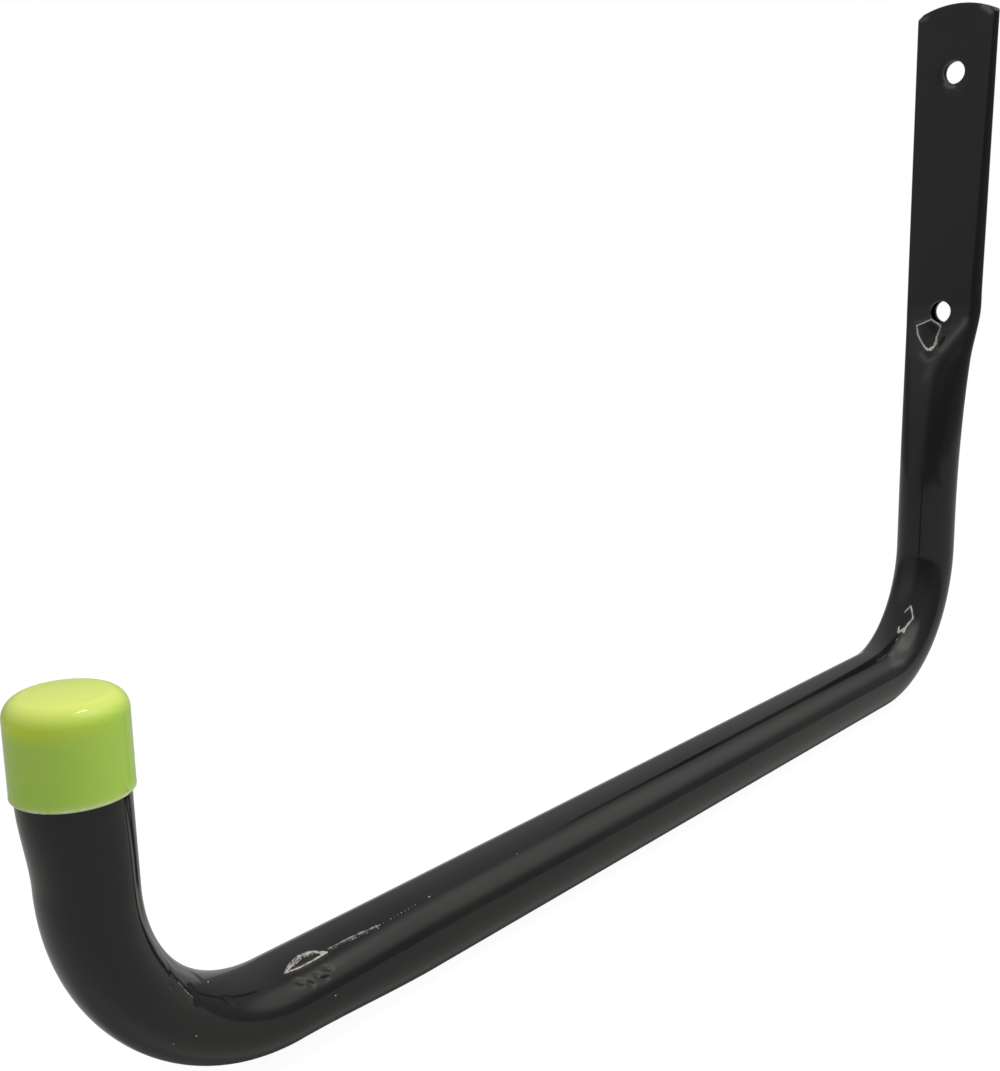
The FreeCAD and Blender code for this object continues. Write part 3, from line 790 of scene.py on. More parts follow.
@dataclass
class EndCap:
    """The lime cap: a soft cup with a rounded upper edge, a narrow lip and a faint parting line, with painted
    light on its top, a painted glow under the edge and a painted highlight along the lip.
    """

    tube: TubeSizes
    sizes: CapSizes = field(default_factory=CapSizes)
    around: int = 224

    def profile(self) -> list[tuple[float, float]]:
        """Radius and height above the tube's end, from the bore's middle round the lip to the crown."""
        sizes, depth = self.sizes, self.tube.cap_depth
        bore = self.tube.radius + sizes.clearance
        outer = bore + sizes.wall
        body = outer - sizes.lip_growth
        shoulder = sizes.top - sizes.crown - sizes.edge_radius
        points = [(bore * share, 0.0) for share in (0.05, 0.5, 0.98)]
        points += [(bore, float(height)) for height in np.linspace(-0.3, sizes.lip_radius - depth, 5)]
        for turn in np.linspace(0.0, QUARTER, 5)[1:]:
            points.append((bore + sizes.lip_radius * (1.0 - math.cos(turn)),
                           sizes.lip_radius * (1.0 - math.sin(turn)) - depth))
        for turn in np.linspace(0.0, QUARTER, 5):
            points.append((outer - sizes.lip_radius * (1.0 - math.sin(turn)),
                           sizes.lip_radius * (1.0 - math.cos(turn)) - depth))
        for share in np.linspace(0.0, 1.0, 7)[1:]:
            points.append((outer - sizes.lip_growth * smooth(share),
                           sizes.lip_radius + sizes.lip_height * share - depth))
        start = sizes.lip_radius + sizes.lip_height - depth
        points += [(body, float(height)) for height in np.linspace(start, shoulder, 16)[1:]]
        for turn in np.linspace(0.0, QUARTER, 22)[1:]:
            points.append((body - sizes.edge_radius * (1.0 - math.cos(turn)),
                           shoulder + sizes.edge_radius * math.sin(turn)))
        flat = body - sizes.edge_radius
        for share in np.linspace(1.0, 0.04, 16)[1:]:
            points.append((flat * share, shoulder + sizes.edge_radius + sizes.crown * (1.0 - share ** 2)))
        return points

    def build(self) -> bpy.types.Object:
        """Make the cap's object."""
        tube, sizes, around = self.tube, self.sizes, self.around
        body = tube.radius + sizes.clearance + sizes.wall - sizes.lip_growth
        turns = (math.radians(sizes.parting_turn), math.radians(sizes.parting_turn) - math.pi)

        def apart(angles: np.ndarray, turn: float) -> np.ndarray:
            """Distance round the cap from a parting line."""
            return ((angles - turn + math.pi) % (2.0 * math.pi) - math.pi) * body

        dense = np.linspace(0.0, 2.0 * math.pi, 4001)
        weight = 1.0 + sum(5.0 * np.exp(-(apart(dense, turn) / 1.2) ** 2) for turn in turns)
        total = np.concatenate([[0.0], np.cumsum((weight[1:] + weight[:-1]) / 2.0)])
        angles = np.interp(np.arange(around) / around, total / total[-1], dense)
        seam = np.zeros(around)
        for turn in turns:
            seam -= sizes.parting_depth * np.exp(-(apart(angles, turn) / sizes.parting_width) ** 2)
            seam += sizes.parting_step * smooth(0.5 - apart(angles, turn) / sizes.parting_width) * np.exp(
                -(apart(angles, turn) / 2.0) ** 2)
        rings, wear, pale, thin = [], [], [], []
        # Painted glow: a yellow band just under the rounded top edge, strongest on one side, as if light shone
        # through the vinyl.
        facing = (0.5 + 0.5 * np.cos(angles - math.radians(sizes.painted_glow_turn))) ** 1.5
        flat = body - sizes.edge_radius
        bore_edge = tube.radius + sizes.clearance + sizes.wall / 2.0
        for reach, height in self.profile():
            spread = reach + (seam if bore_edge < reach <= body + TINY and height < sizes.top - 1.0 else 0.0)
            rings.append(np.stack([spread * np.sin(angles), tube.tip_y - spread * np.cos(angles),
                                   np.full(around, tube.tip_end_z + height)], axis=1))
            # Painted highlight: a light line along the lip, where it catches light from the floor.
            low = math.exp(-((height + tube.cap_depth) / 0.55) ** 2) if reach > bore_edge else 0.0
            wear.append(np.full(around, low))
            # Painted light: the top and its rounded edge are lightened as if lit from above.
            above = (height - sizes.top + sizes.crown + sizes.edge_radius) / sizes.edge_radius
            pale.append(np.full(around, float(smooth(above)) if reach > flat or height > 0.0 else 0.0))
            thin.append(facing * math.exp(-((height + sizes.painted_glow_drop) / sizes.painted_glow_reach) ** 2))
        low_ring = np.arange(around)
        high_ring = np.roll(low_ring, -1)
        faces: list[tuple[int, ...]] = []
        for ring in range(len(rings) - 1):
            strip = np.stack([ring * around + low_ring, ring * around + high_ring,
                              (ring + 1) * around + high_ring, (ring + 1) * around + low_ring], axis=1)
            faces += [tuple(face) for face in strip.tolist()]
        faces.append(tuple(range(around))[::-1])
        faces.append(tuple(range((len(rings) - 1) * around, len(rings) * around)))
        mesh = bpy.data.meshes.new("lime_cap")
        points = np.clip(np.concatenate(rings) * MM, *CAD_BOX)
        mesh.from_pydata(points.tolist(), [], faces)
        write_shares(mesh, wear=np.concatenate(wear), pale=np.concatenate(pale), thin=np.concatenate(thin))
        cap = new_object("lime_cap", mesh)
        make_outward(cap)
        shade(cap, 55.0)
        return cap


@dataclass(frozen=True)
class GrainLine:
    """A line of small light grains, partly broken paint and partly a painted highlight: its points and the
    half sizes of its grains.
    """

    line: tuple[Point, ...]
    size: Point
    spacing: float
    uneven: float = 0.2
    closed: bool = False


@dataclass(frozen=True)
class PaintGrains:
    """Light grains on the rims of the press marks and the hatched line on the arm, partly broken paint and
    partly painted highlight, and light specks, partly dust and partly painted glints.
    """

    seed: int = 7
    # The lines paint highlights: the bright outline of the pressed shield, the C-shaped glint at the wall
    # bend, and the teardrop outline and hatched reflection line on the arm near the tip bend.
    lines: tuple[GrainLine, ...] = (
        GrainLine(((-7.36, -7.0, -43.8), (-2.67, -6.1, -41.55), (0.71, -5.9, -43.7), (-0.23, -6.65, -47.4),
                   (0.13, -8.8, -49.9), (-0.5, -10.2, -51.3), (-1.6, -10.6, -51.8), (-2.7, -10.3, -51.0),
                   (-4.16, -9.6, -49.3), (-6.32, -8.3, -46.75)), (0.36, 0.44, 0.26), 0.3, 0.3, closed=True),
        GrainLine(((0.1, -7.6, -48.3), (0.1, -8.9, -50.0), (-0.6, -10.1, -51.1), (-1.6, -10.5, -51.5),
                   (-2.9, -10.2, -50.7)), (0.4, 0.55, 0.3), 0.3, 0.3),
        GrainLine(((4.5, -305.5, -150.4), (4.9, -302.1, -150.6), (4.9, -298.8, -150.6), (4.7, -295.2, -150.5)),
                  (0.26, 0.21, 0.12), 0.2, 0.55),
        GrainLine(((4.5, -305.5, -150.4), (3.6, -303.0, -150.1), (2.8, -300.2, -149.8), (3.1, -297.4, -149.9),
                   (4.7, -295.2, -150.5)), (0.17, 0.24, 0.13), 0.25, 0.7),
        GrainLine(((4.0, -304.8, -150.2), (3.1, -303.0, -149.9), (2.4, -300.4, -149.7), (2.7, -297.8, -149.8)),
                  (0.11, 0.14, 0.1), 0.34, 0.8),
        GrainLine(((4.2, -304.8, -150.3), (3.9, -302.6, -150.1), (3.3, -300.3, -150.0)),
                  (0.12, 0.16, 0.09), 0.27, 0.7),
        GrainLine(((3.3, -299.6, -150.0), (3.4, -297.4, -150.0), (4.4, -296.0, -150.3)),
                  (0.12, 0.16, 0.09), 0.27, 0.7),
        GrainLine(((4.3, -296.4, -150.3), (4.6, -295.8, -150.4)), (0.12, 0.3, 0.09), 0.25, 0.6),
        GrainLine(((4.2, -294.2, -150.3), (4.3, -288.4, -150.3), (4.8, -280.6, -150.5)),
                  (0.13, 0.27, 0.17), 0.5, 0.5),
        GrainLine(((4.8, -280.6, -150.5), (4.7, -274.0, -150.4), (4.6, -270.0, -150.4)),
                  (0.07, 0.1, 0.08), 1.0, 0.7),
        GrainLine(((4.6, -294.0, -150.4), (4.8, -288.0, -150.5), (5.2, -281.5, -150.7)),
                  (0.1, 0.15, 0.09), 0.7, 0.8),
        GrainLine(((1.3, -26.9, -139.6), (2.5, -25.0, -137.7), (4.4, -27.1, -141.2), (3.4, -31.0, -144.0),
                   (2.2, -33.8, -145.3), (1.5, -31.7, -143.8)), (0.36, 0.3, 0.2), 0.32, 0.4),
        GrainLine(((8.3, -331.8, -139.2), (8.8, -330.4, -141.4), (8.6, -329.2, -143.0)),
                  (0.12, 0.06, 0.04), 0.3, 0.5),
    )
    # Light specks: dust on the paint, lit further as painted glints.
    specks: tuple[tuple[Point, float], ...] = (
        ((4.4, -265.7, -150.3), 0.2), ((8.8, -334.2, -149.6), 0.1), ((10.0, -330.3, -149.5), 0.12),
        ((9.8, -297.8, -156.7), 0.13), ((5.0, -237.4, -150.6), 0.1), ((4.4, -323.1, -144.4), 0.12),
    )

    @staticmethod
    def tree() -> bpy.types.NodeTree:
        """Geometry nodes that lay grains along lines, on the nearest skin."""
        tree = bpy.data.node_groups.new("grains_along_lines", "GeometryNodeTree")
        face = tree.interface
        face.new_socket("Lines", in_out="INPUT", socket_type="NodeSocketGeometry")
        face.new_socket("Skin", in_out="INPUT", socket_type="NodeSocketObject")
        face.new_socket("Spacing", in_out="INPUT", socket_type="NodeSocketFloat")
        face.new_socket("Half Size", in_out="INPUT", socket_type="NodeSocketVector")
        face.new_socket("Uneven", in_out="INPUT", socket_type="NodeSocketFloat")
        face.new_socket("Seed", in_out="INPUT", socket_type="NodeSocketInt")
        face.new_socket("Finish", in_out="INPUT", socket_type="NodeSocketMaterial")
        face.new_socket("Grains", in_out="OUTPUT", socket_type="NodeSocketGeometry")
        nodes, links = tree.nodes, tree.links
        entry, leave = nodes.new("NodeGroupInput"), nodes.new("NodeGroupOutput")
        curve = nodes.new("GeometryNodeMeshToCurve")
        even = nodes.new("GeometryNodeResampleCurve")
        even.mode = "LENGTH"
        skin = nodes.new("GeometryNodeObjectInfo")
        near = nodes.new("GeometryNodeProximity")
        seat = nodes.new("GeometryNodeSetPosition")
        tangent = nodes.new("GeometryNodeInputTangent")
        align = nodes.new("FunctionNodeAlignRotationToVector")
        align.axis = "X"
        grain = nodes.new("GeometryNodeMeshUVSphere")
        grain.inputs["Segments"].default_value = 8
        grain.inputs["Rings"].default_value = 5
        grain.inputs["Radius"].default_value = 1.0
        least = nodes.new("ShaderNodeMath")
        least.operation = "SUBTRACT"
        least.inputs[0].default_value = 1.0
        most = nodes.new("ShaderNodeMath")
        most.operation = "ADD"
        most.inputs[0].default_value = 1.0
        random = nodes.new("FunctionNodeRandomValue")
        random.data_type = "FLOAT"
        scale = nodes.new("ShaderNodeVectorMath")
        scale.operation = "SCALE"
        place = nodes.new("GeometryNodeInstanceOnPoints")
        real = nodes.new("GeometryNodeRealizeInstances")
        soft = nodes.new("GeometryNodeSetShadeSmooth")
        finish = nodes.new("GeometryNodeSetMaterial")
        floats = {socket.identifier: socket for socket in random.inputs}
        random_out = next(socket for socket in random.outputs if socket.enabled and socket.type == "VALUE")
        for source, target in (
            (entry.outputs["Lines"], curve.inputs["Mesh"]),
            (curve.outputs["Curve"], even.inputs["Curve"]),
            (entry.outputs["Spacing"], even.inputs["Length"]),
            (entry.outputs["Skin"], skin.inputs["Object"]),
            (skin.outputs["Geometry"], near.inputs[0]),
            (even.outputs["Curve"], seat.inputs["Geometry"]),
            (near.outputs["Position"], seat.inputs["Position"]),
            (tangent.outputs["Tangent"], align.inputs["Vector"]),
            (entry.outputs["Uneven"], least.inputs[1]),
            (entry.outputs["Uneven"], most.inputs[1]),
            (least.outputs[0], floats["Min_001"]),
            (most.outputs[0], floats["Max_001"]),
            (entry.outputs["Seed"], floats["Seed"]),
            (entry.outputs["Half Size"], scale.inputs[0]),
            (random_out, scale.inputs["Scale"]),
            (seat.outputs["Geometry"], place.inputs["Points"]),
            (grain.outputs["Mesh"], place.inputs["Instance"]),
            (align.outputs["Rotation"], place.inputs["Rotation"]),
            (scale.outputs[0], place.inputs["Scale"]),
            (place.outputs["Instances"], real.inputs["Geometry"]),
            (real.outputs["Geometry"], soft.inputs["Geometry"]),
            (soft.outputs["Geometry"], finish.inputs["Geometry"]),
            (entry.outputs["Finish"], finish.inputs["Material"]),
            (finish.outputs["Geometry"], leave.inputs["Grains"]),
        ):
            links.new(source, target)
        return tree

    def all_lines(self) -> list[GrainLine]:
        """The lines, and each speck as a short line of its own."""
        spots = [GrainLine((spot, (spot[0], spot[1] + size, spot[2])), (size, size, size * 0.6), 4.0 * size)
                 for spot, size in self.specks]
        return list(self.lines) + spots

    def build(self, skin: bpy.types.Object, finish: bpy.types.Material) -> bpy.types.Object:
        """Make all grains as one piece.

        Args:
            skin: The tube that the grains lie on.
            finish: Their material.

        Returns:
            The piece.
        """
        tree = self.tree()
        keys = {item.name: item.identifier for item in tree.interface.items_tree if item.in_out == "INPUT"}
        whole = bmesh.new()
        for number, line in enumerate(self.all_lines()):
            count = len(line.line)
            edges = [(spot, spot + 1) for spot in range(count - 1)]
            edges += [(count - 1, 0)] if line.closed else []
            mesh = bpy.data.meshes.new("grain_line")
            mesh.from_pydata((np.array(line.line) * MM).tolist(), edges, [])
            item = new_object("grain_line", mesh)
            layer = item.modifiers.new("grains", "NODES")
            layer.node_group = tree
            layer[keys["Skin"]] = skin
            layer[keys["Spacing"]] = line.spacing * MM
            layer[keys["Half Size"]] = [value * MM for value in line.size]
            layer[keys["Uneven"]] = line.uneven
            layer[keys["Seed"]] = self.seed + number
            layer[keys["Finish"]] = finish
            apply_modifiers(item)
            whole.from_mesh(item.data)
            bpy.data.objects.remove(item)
        mesh = bpy.data.meshes.new("broken_paint")
        whole.to_mesh(mesh)
        whole.free()
        mesh.materials.append(finish)
        grains = new_object("broken_paint", mesh)
        shade(grains, 80.0)
        return grains


class ShaderGroup:
    """A node group that more than one finish uses."""

    def __init__(self, name: str, inputs: dict[str, float], outputs: tuple[str, ...]) -> None:
        """Open a group with named number inputs and outputs, and a vector input for the place."""
        self.tree = bpy.data.node_groups.new(name, "ShaderNodeTree")
        self.tree.interface.new_socket("Place", in_out="INPUT", socket_type="NodeSocketVector")
        for key, value in inputs.items():
            socket = self.tree.interface.new_socket(key, in_out="INPUT", socket_type="NodeSocketFloat")
            socket.default_value = value
        for key in outputs:
            self.tree.interface.new_socket(key, in_out="OUTPUT", socket_type="NodeSocketFloat")
        self.entry = self.tree.nodes.new("NodeGroupInput")
        self.exit = self.tree.nodes.new("NodeGroupOutput")

    def node(self, kind: str, **settings: object) -> bpy.types.Node:
        """Add a node with settings."""
        node = self.tree.nodes.new(kind)
        for key, value in settings.items():
            setattr(node, key, value)
        return node

    def link(self, source: bpy.types.NodeSocket, target: bpy.types.NodeSocket) -> None:
        """Join two sockets."""
        self.tree.links.new(source, target)


def orange_peel() -> bpy.types.NodeTree:
    """Slow ripple of sprayed paint and of moulded plastic, with fine grit on it."""
    group = ShaderGroup("orange_peel", {"Ripple": 260.0, "Grit": 2400.0, "Grit Share": 0.15}, ("Height",))
    ripple = group.node("ShaderNodeTexNoise", noise_dimensions="3D")
    ripple.inputs["Detail"].default_value = 2.0
    grit = group.node("ShaderNodeTexNoise", noise_dimensions="3D")
    grit.inputs["Detail"].default_value = 1.0
    mix = group.node("ShaderNodeMix", data_type="FLOAT")
    group.link(group.entry.outputs["Place"], ripple.inputs["Vector"])
    group.link(group.entry.outputs["Place"], grit.inputs["Vector"])
    group.link(group.entry.outputs["Ripple"], ripple.inputs["Scale"])
    group.link(group.entry.outputs["Grit"], grit.inputs["Scale"])
    group.link(group.entry.outputs["Grit Share"], mix.inputs["Factor"])
    group.link(ripple.outputs["Fac"], mix.inputs["A"])
    group.link(grit.outputs["Fac"], mix.inputs["B"])
    group.link(mix.outputs["Result"], group.exit.inputs["Height"])
    return group.tree


def handling_film() -> bpy.types.NodeTree:
    """Cloudy film that handling leaves: where the gloss is a little duller."""
    group = ShaderGroup("handling_film", {"Cloud": 22.0, "Least": 0.1, "Most": 0.3}, ("Value", "Mask"))
    cloud = group.node("ShaderNodeTexNoise", noise_dimensions="3D")
    cloud.inputs["Detail"].default_value = 5.0
    cloud.inputs["Roughness"].default_value = 0.62
    spread = group.node("ShaderNodeMapRange")
    spread.inputs["From Min"].default_value = 0.35
    spread.inputs["From Max"].default_value = 0.7
    mask = group.node("ShaderNodeMapRange")
    mask.inputs["From Min"].default_value = 0.4
    mask.inputs["From Max"].default_value = 0.75
    group.link(group.entry.outputs["Place"], cloud.inputs["Vector"])
    group.link(group.entry.outputs["Cloud"], cloud.inputs["Scale"])
    group.link(cloud.outputs["Fac"], spread.inputs["Value"])
    group.link(group.entry.outputs["Least"], spread.inputs["To Min"])
    group.link(group.entry.outputs["Most"], spread.inputs["To Max"])
    group.link(cloud.outputs["Fac"], mask.inputs["Value"])
    group.link(spread.outputs["Result"], group.exit.inputs["Value"])
    group.link(mask.outputs["Result"], group.exit.inputs["Mask"])
    return group.tree


class MaterialMaker:
    """A material with a Principled shader and helpers to place the shared groups."""

    def __init__(self, name: str) -> None:
        """Open the material."""
        self.material = bpy.data.materials.new(name)
        self.material.use_nodes = True
        self.nodes = self.material.node_tree.nodes
        self.links = self.material.node_tree.links
        self.shader = next(node for node in self.nodes if node.type == "BSDF_PRINCIPLED")
        self.place = self.nodes.new("ShaderNodeTexCoord").outputs["Object"]

    def group(self, tree: bpy.types.NodeTree, **values: float) -> bpy.types.Node:
        """Place a shared group with its own values."""
        node = self.nodes.new("ShaderNodeGroup")
        node.node_tree = tree
        self.links.new(self.place, node.inputs["Place"])
        for key, value in values.items():
            node.inputs[key.replace("_", " ")].default_value = value
        return node

    def share(self, name: str) -> bpy.types.NodeSocket:
        """A share that the piece carries at its points."""
        node = self.nodes.new("ShaderNodeAttribute")
        node.attribute_name = name
        return node.outputs["Fac"]

    def bump(self, height: bpy.types.NodeSocket, distance: float, strength: float) -> None:
        """Feed a height to the shader's normal."""
        node = self.nodes.new("ShaderNodeBump")
        node.inputs["Distance"].default_value = distance
        node.inputs["Strength"].default_value = strength
        self.links.new(height, node.inputs["Height"])
        self.links.new(node.outputs["Normal"], self.shader.inputs["Normal"])

    def blend(self, share: bpy.types.NodeSocket, first: bpy.types.NodeSocket | Colour,
              second: Colour | float) -> bpy.types.NodeSocket:
        """Mix a colour or a number by a share.

        Args:
            share: How much of the second shows.
            first: A plain colour, or the socket of a colour or number.
            second: A plain colour or number.

        Returns:
            The mixed colour or number.
        """
        number = isinstance(second, float)
        kind = "VALUE" if number else "RGBA"
        node = self.nodes.new("ShaderNodeMix")
        node.data_type = "FLOAT" if number else "RGBA"
        ends = {socket.name: socket for socket in node.inputs if socket.type == kind}
        if isinstance(first, bpy.types.NodeSocket):
            self.links.new(first, ends["A"])
        else:
            ends["A"].default_value = (*first, 1.0)
        ends["B"].default_value = second if number else (*second, 1.0)
        self.links.new(share, node.inputs[0])
        return next(socket for socket in node.outputs if socket.type == kind)


def edge_wear() -> bpy.types.NodeTree:
    """Share of rubbed paint and painted highlight, broken up by fine noise so that it looks rubbed and not
    drawn.
    """
    group = ShaderGroup("edge_wear", {"Wear": 0.0, "Breakup": 900.0}, ("Mask",))
    noise = group.node("ShaderNodeTexNoise", noise_dimensions="3D")
    noise.inputs["Detail"].default_value = 3.0
    spread = group.node("ShaderNodeMapRange")
    spread.inputs["From Min"].default_value = 0.3
    spread.inputs["From Max"].default_value = 0.65
    spread.inputs["To Min"].default_value = 0.25
    product = group.node("ShaderNodeMath", operation="MULTIPLY", use_clamp=True)
    group.link(group.entry.outputs["Place"], noise.inputs["Vector"])
    group.link(group.entry.outputs["Breakup"], noise.inputs["Scale"])
    group.link(noise.outputs["Fac"], spread.inputs["Value"])
    group.link(spread.outputs["Result"], product.inputs[0])
    group.link(group.entry.outputs["Wear"], product.inputs[1])
    group.link(product.outputs[0], group.exit.inputs["Mask"])
    return group.tree


@dataclass(frozen=True)
class SharedEffects:
    """The shader groups that more than one finish uses."""

    peel: bpy.types.NodeTree
    film: bpy.types.NodeTree
    wear: bpy.types.NodeTree


@dataclass(frozen=True)
class CoatFinish:
    """A glossy or satin coat: a colour clouded by film, with painted glow, painted light, painted highlight
    and rubbed paint where the piece says, and a slight ripple.
    """

    name: str
    colour: Colour
    film_colour: Colour
    worn_and_highlight_colour: Colour
    painted_light_colour: Colour
    painted_glow_colour: Colour
    index: float
    cloud: float
    gloss: tuple[float, float]
    worn_and_highlight_gloss: float
    ripple: float
    grit: float
    grit_share: float
    relief: float

    def material(self, shared: SharedEffects) -> bpy.types.Material:
        """Make the material from the shared effects."""
        maker = MaterialMaker(self.name)
        shader = maker.shader
        shader.inputs["IOR"].default_value = self.index
        clouds = maker.group(shared.film, Cloud=self.cloud, Least=self.gloss[0], Most=self.gloss[1])
        worn_and_highlight = maker.group(shared.wear)
        maker.links.new(maker.share("wear"), worn_and_highlight.inputs["Wear"])
        tint = maker.blend(clouds.outputs["Mask"], self.colour, self.film_colour)
        # Painted glow, painted light from above and painted highlights go into the colour here; the highlight
        # share also covers rubbed paint.
        tint = maker.blend(maker.share("thin"), tint, self.painted_glow_colour)
        tint = maker.blend(maker.share("pale"), tint, self.painted_light_colour)
        tint = maker.blend(worn_and_highlight.outputs["Mask"], tint, self.worn_and_highlight_colour)
        maker.links.new(tint, shader.inputs["Base Color"])
        rough = maker.blend(worn_and_highlight.outputs["Mask"], clouds.outputs["Value"], self.worn_and_highlight_gloss)
        maker.links.new(rough, shader.inputs["Roughness"])
        ripple = maker.group(shared.peel, Ripple=self.ripple, Grit=self.grit, Grit_Share=self.grit_share)
        maker.bump(ripple.outputs["Height"], 0.0001, self.relief)
        return maker.material


class Finish(Enum):
    """The hook's finishes."""

    # Black paint: the grey and the dark grey paint highlights on the marks; the grey also stands for rubbed
    # paint, lightened as a painted highlight, on the hole rims and the top edge.
    BLACK_PAINT = CoatFinish(
        name="black_gloss_paint", colour=(0.0085, 0.0088, 0.0096), film_colour=(0.0145, 0.0138, 0.0124),
        worn_and_highlight_colour=(0.16, 0.15, 0.14), painted_light_colour=(0.085, 0.08, 0.072), painted_glow_colour=(0.0085, 0.0088, 0.0096),
        index=1.5, cloud=24.0, gloss=(0.07, 0.15), worn_and_highlight_gloss=0.32,
        ripple=190.0, grit=2400.0, grit_share=0.1, relief=0.22)
    # Lime vinyl: the light tone paints light on the top, the yellow tone paints a glow under the top edge and
    # the near-white tone paints a highlight on the lip.
    LIME_PLASTIC = CoatFinish(
        name="lime_plastic", colour=(0.56, 0.86, 0.12), film_colour=(0.52, 0.82, 0.105),
        worn_and_highlight_colour=(0.95, 1.0, 0.72), painted_light_colour=(0.86, 1.0, 0.21), painted_glow_colour=(0.82, 1.0, 0.065),
        index=1.47, cloud=40.0, gloss=(0.08, 0.14), worn_and_highlight_gloss=0.4,
        ripple=420.0, grit=3200.0, grit_share=0.15, relief=0.1)
    # Grains: a light tone, partly broken paint and dust, partly a painted highlight along the mark rims and
    # the hatched line.
    BROKEN_PAINT = CoatFinish(
        name="broken_paint", colour=(0.74, 0.71, 0.65), film_colour=(0.3, 0.28, 0.25),
        worn_and_highlight_colour=(0.8, 0.78, 0.74), painted_light_colour=(0.8, 0.78, 0.74), painted_glow_colour=(0.8, 0.78, 0.74),
        index=1.5, cloud=420.0, gloss=(0.25, 0.45), worn_and_highlight_gloss=0.4,
        ripple=900.0, grit=3000.0, grit_share=0.3, relief=0.3)


@dataclass(frozen=True)
class Lobe:
    """A soft patch of light or shade in the room: its direction, its edge angles and its strength."""

    turn: float
    height: float
    inner: float
    outer: float
    strength: float

    def direction(self) -> Vector:
        """Unit direction towards the patch."""
        turn, height = math.radians(self.turn), math.radians(self.height)
        level = math.cos(height)
        return Vector((math.sin(turn) * level, -math.cos(turn) * level, math.sin(height)))


@dataclass(frozen=True)
class Lamp:
    """A soft lamp: where it hangs and its size, in metres, its power in watts and what glossy paint shows."""

    name: str
    place: Point
    size: tuple[float, float]
    power: float
    colour: Colour
    mirrored: bool


@dataclass(frozen=True)
class Studio:
    """Floor, white surround, soft room light, lamps and the camera."""

    eye: Point = (193.209, -455.557, -16.497)
    azimuth: float = 41.263
    elevation: float = 11.657
    roll: float = -1.283
    focal: float = 1354.95
    centre: tuple[float, float] = (499.135, 533.829)
    floor_z: float = -168.2
    floor_reach: float = 0.75
    horizon: float = 0.22
    zenith: float = 0.44
    below: float = 0.46
    lobes: tuple[Lobe, ...] = (
        Lobe(116.0, 56.0, 6.0, 27.0, 1.25),
        Lobe(143.0, 36.0, 5.0, 26.0, 0.6),
    )
    shades: tuple[Lobe, ...] = (
        Lobe(30.0, 22.0, 10.0, 50.0, -0.08),
        Lobe(-40.0, 14.0, 8.0, 42.0, 0.2),
    )
    room_colour: Colour = (0.98, 0.99, 1.0)
    window_colour: Colour = (1.0, 0.97, 0.88)
    floor_tone: float = 0.54
    floor_glow: float = 1.19
    floor_lift: float = 0.8
    aim: Point = (0.0, -0.2, -0.1)
    lamps: tuple[Lamp, ...] = (
        Lamp("overhead", (0.33, -0.08, 1.31), (0.9, 0.42), 6.0, (1.0, 0.98, 0.93), mirrored=False),
        Lamp("spark", (0.36, -0.06, 1.3), (0.36, 0.18), 1.9, (1.0, 0.97, 0.9), mirrored=True),
    )

    def camera(self) -> None:
        """Stand the camera where the photograph was taken."""
        turn, tilt, roll = (math.radians(value) for value in (self.azimuth, self.elevation, self.roll))
        back = Vector((math.sin(turn) * math.cos(tilt), -math.cos(turn) * math.cos(tilt), math.sin(tilt)))
        level = Vector((math.cos(turn), math.sin(turn), 0.0))
        up = back.cross(level)
        right = level * math.cos(roll) + up * math.sin(roll)
        high = -level * math.sin(roll) + up * math.cos(roll)
        data = bpy.data.cameras.new("camera")
        data.sensor_width = 36.0
        data.sensor_fit = "AUTO"
        data.lens = self.focal * data.sensor_width / IMAGE_HIGH
        data.shift_x = (IMAGE_WIDE / 2.0 - self.centre[0]) / IMAGE_HIGH
        data.shift_y = (self.centre[1] - IMAGE_HIGH / 2.0) / IMAGE_HIGH
        data.clip_start = 0.01
        item = bpy.data.objects.new("camera", data)
        item.matrix_world = Matrix((
            (right.x, high.x, back.x, self.eye[0] * MM),
            (right.y, high.y, back.y, self.eye[1] * MM),
            (right.z, high.z, back.z, self.eye[2] * MM),
            (0.0, 0.0, 0.0, 1.0),
        ))
        bpy.context.scene.collection.objects.link(item)
        bpy.context.scene.camera = item

    def hang(self, lamp: Lamp) -> None:
        """Hang a soft lamp that faces the hook."""
        data = bpy.data.lights.new(lamp.name, "AREA")
        data.shape = "RECTANGLE"
        data.size, data.size_y = lamp.size
        data.energy = lamp.power
        data.color = lamp.colour
        item = bpy.data.objects.new(lamp.name, data)
        item.location = lamp.place
        item.visible_glossy = lamp.mirrored
        item.rotation_euler = (Vector(self.aim) - Vector(lamp.place)).to_track_quat("-Z", "Y").to_euler()
        bpy.context.scene.collection.objects.link(item)

    def ramp(self, world: bpy.types.World, value: bpy.types.NodeSocket, source: tuple[float, float],
             target: tuple[float, float]) -> bpy.types.NodeSocket:
        """Soft step of a value from one pair of ends to another."""
        node = world.node_tree.nodes.new("ShaderNodeMapRange")
        node.interpolation_type = "SMOOTHSTEP"
        for key, number in zip(("From Min", "From Max", "To Min", "To Max"), source + target):
            node.inputs[key].default_value = number
        world.node_tree.links.new(value, node.inputs["Value"])
        return node.outputs["Result"]

    def patch(self, world: bpy.types.World, lobe: Lobe, toward: bpy.types.NodeSocket) -> bpy.types.NodeSocket:
        """Strength of a soft patch in each direction."""
        dot = world.node_tree.nodes.new("ShaderNodeVectorMath")
        dot.operation = "DOT_PRODUCT"
        world.node_tree.links.new(toward, dot.inputs[0])
        dot.inputs[1].default_value = lobe.direction()
        edges = math.cos(math.radians(lobe.outer)), math.cos(math.radians(lobe.inner))
        return self.ramp(world, dot.outputs["Value"], edges, (0.0, lobe.strength))

    @staticmethod
    def total(world: bpy.types.World, parts: list[bpy.types.NodeSocket]) -> bpy.types.NodeSocket:
        """Sum of some values."""
        result = parts[0]
        for part in parts[1:]:
            add = world.node_tree.nodes.new("ShaderNodeMath")
            add.operation = "ADD"
            world.node_tree.links.new(result, add.inputs[0])
            world.node_tree.links.new(part, add.inputs[1])
            result = add.outputs[0]
        return result

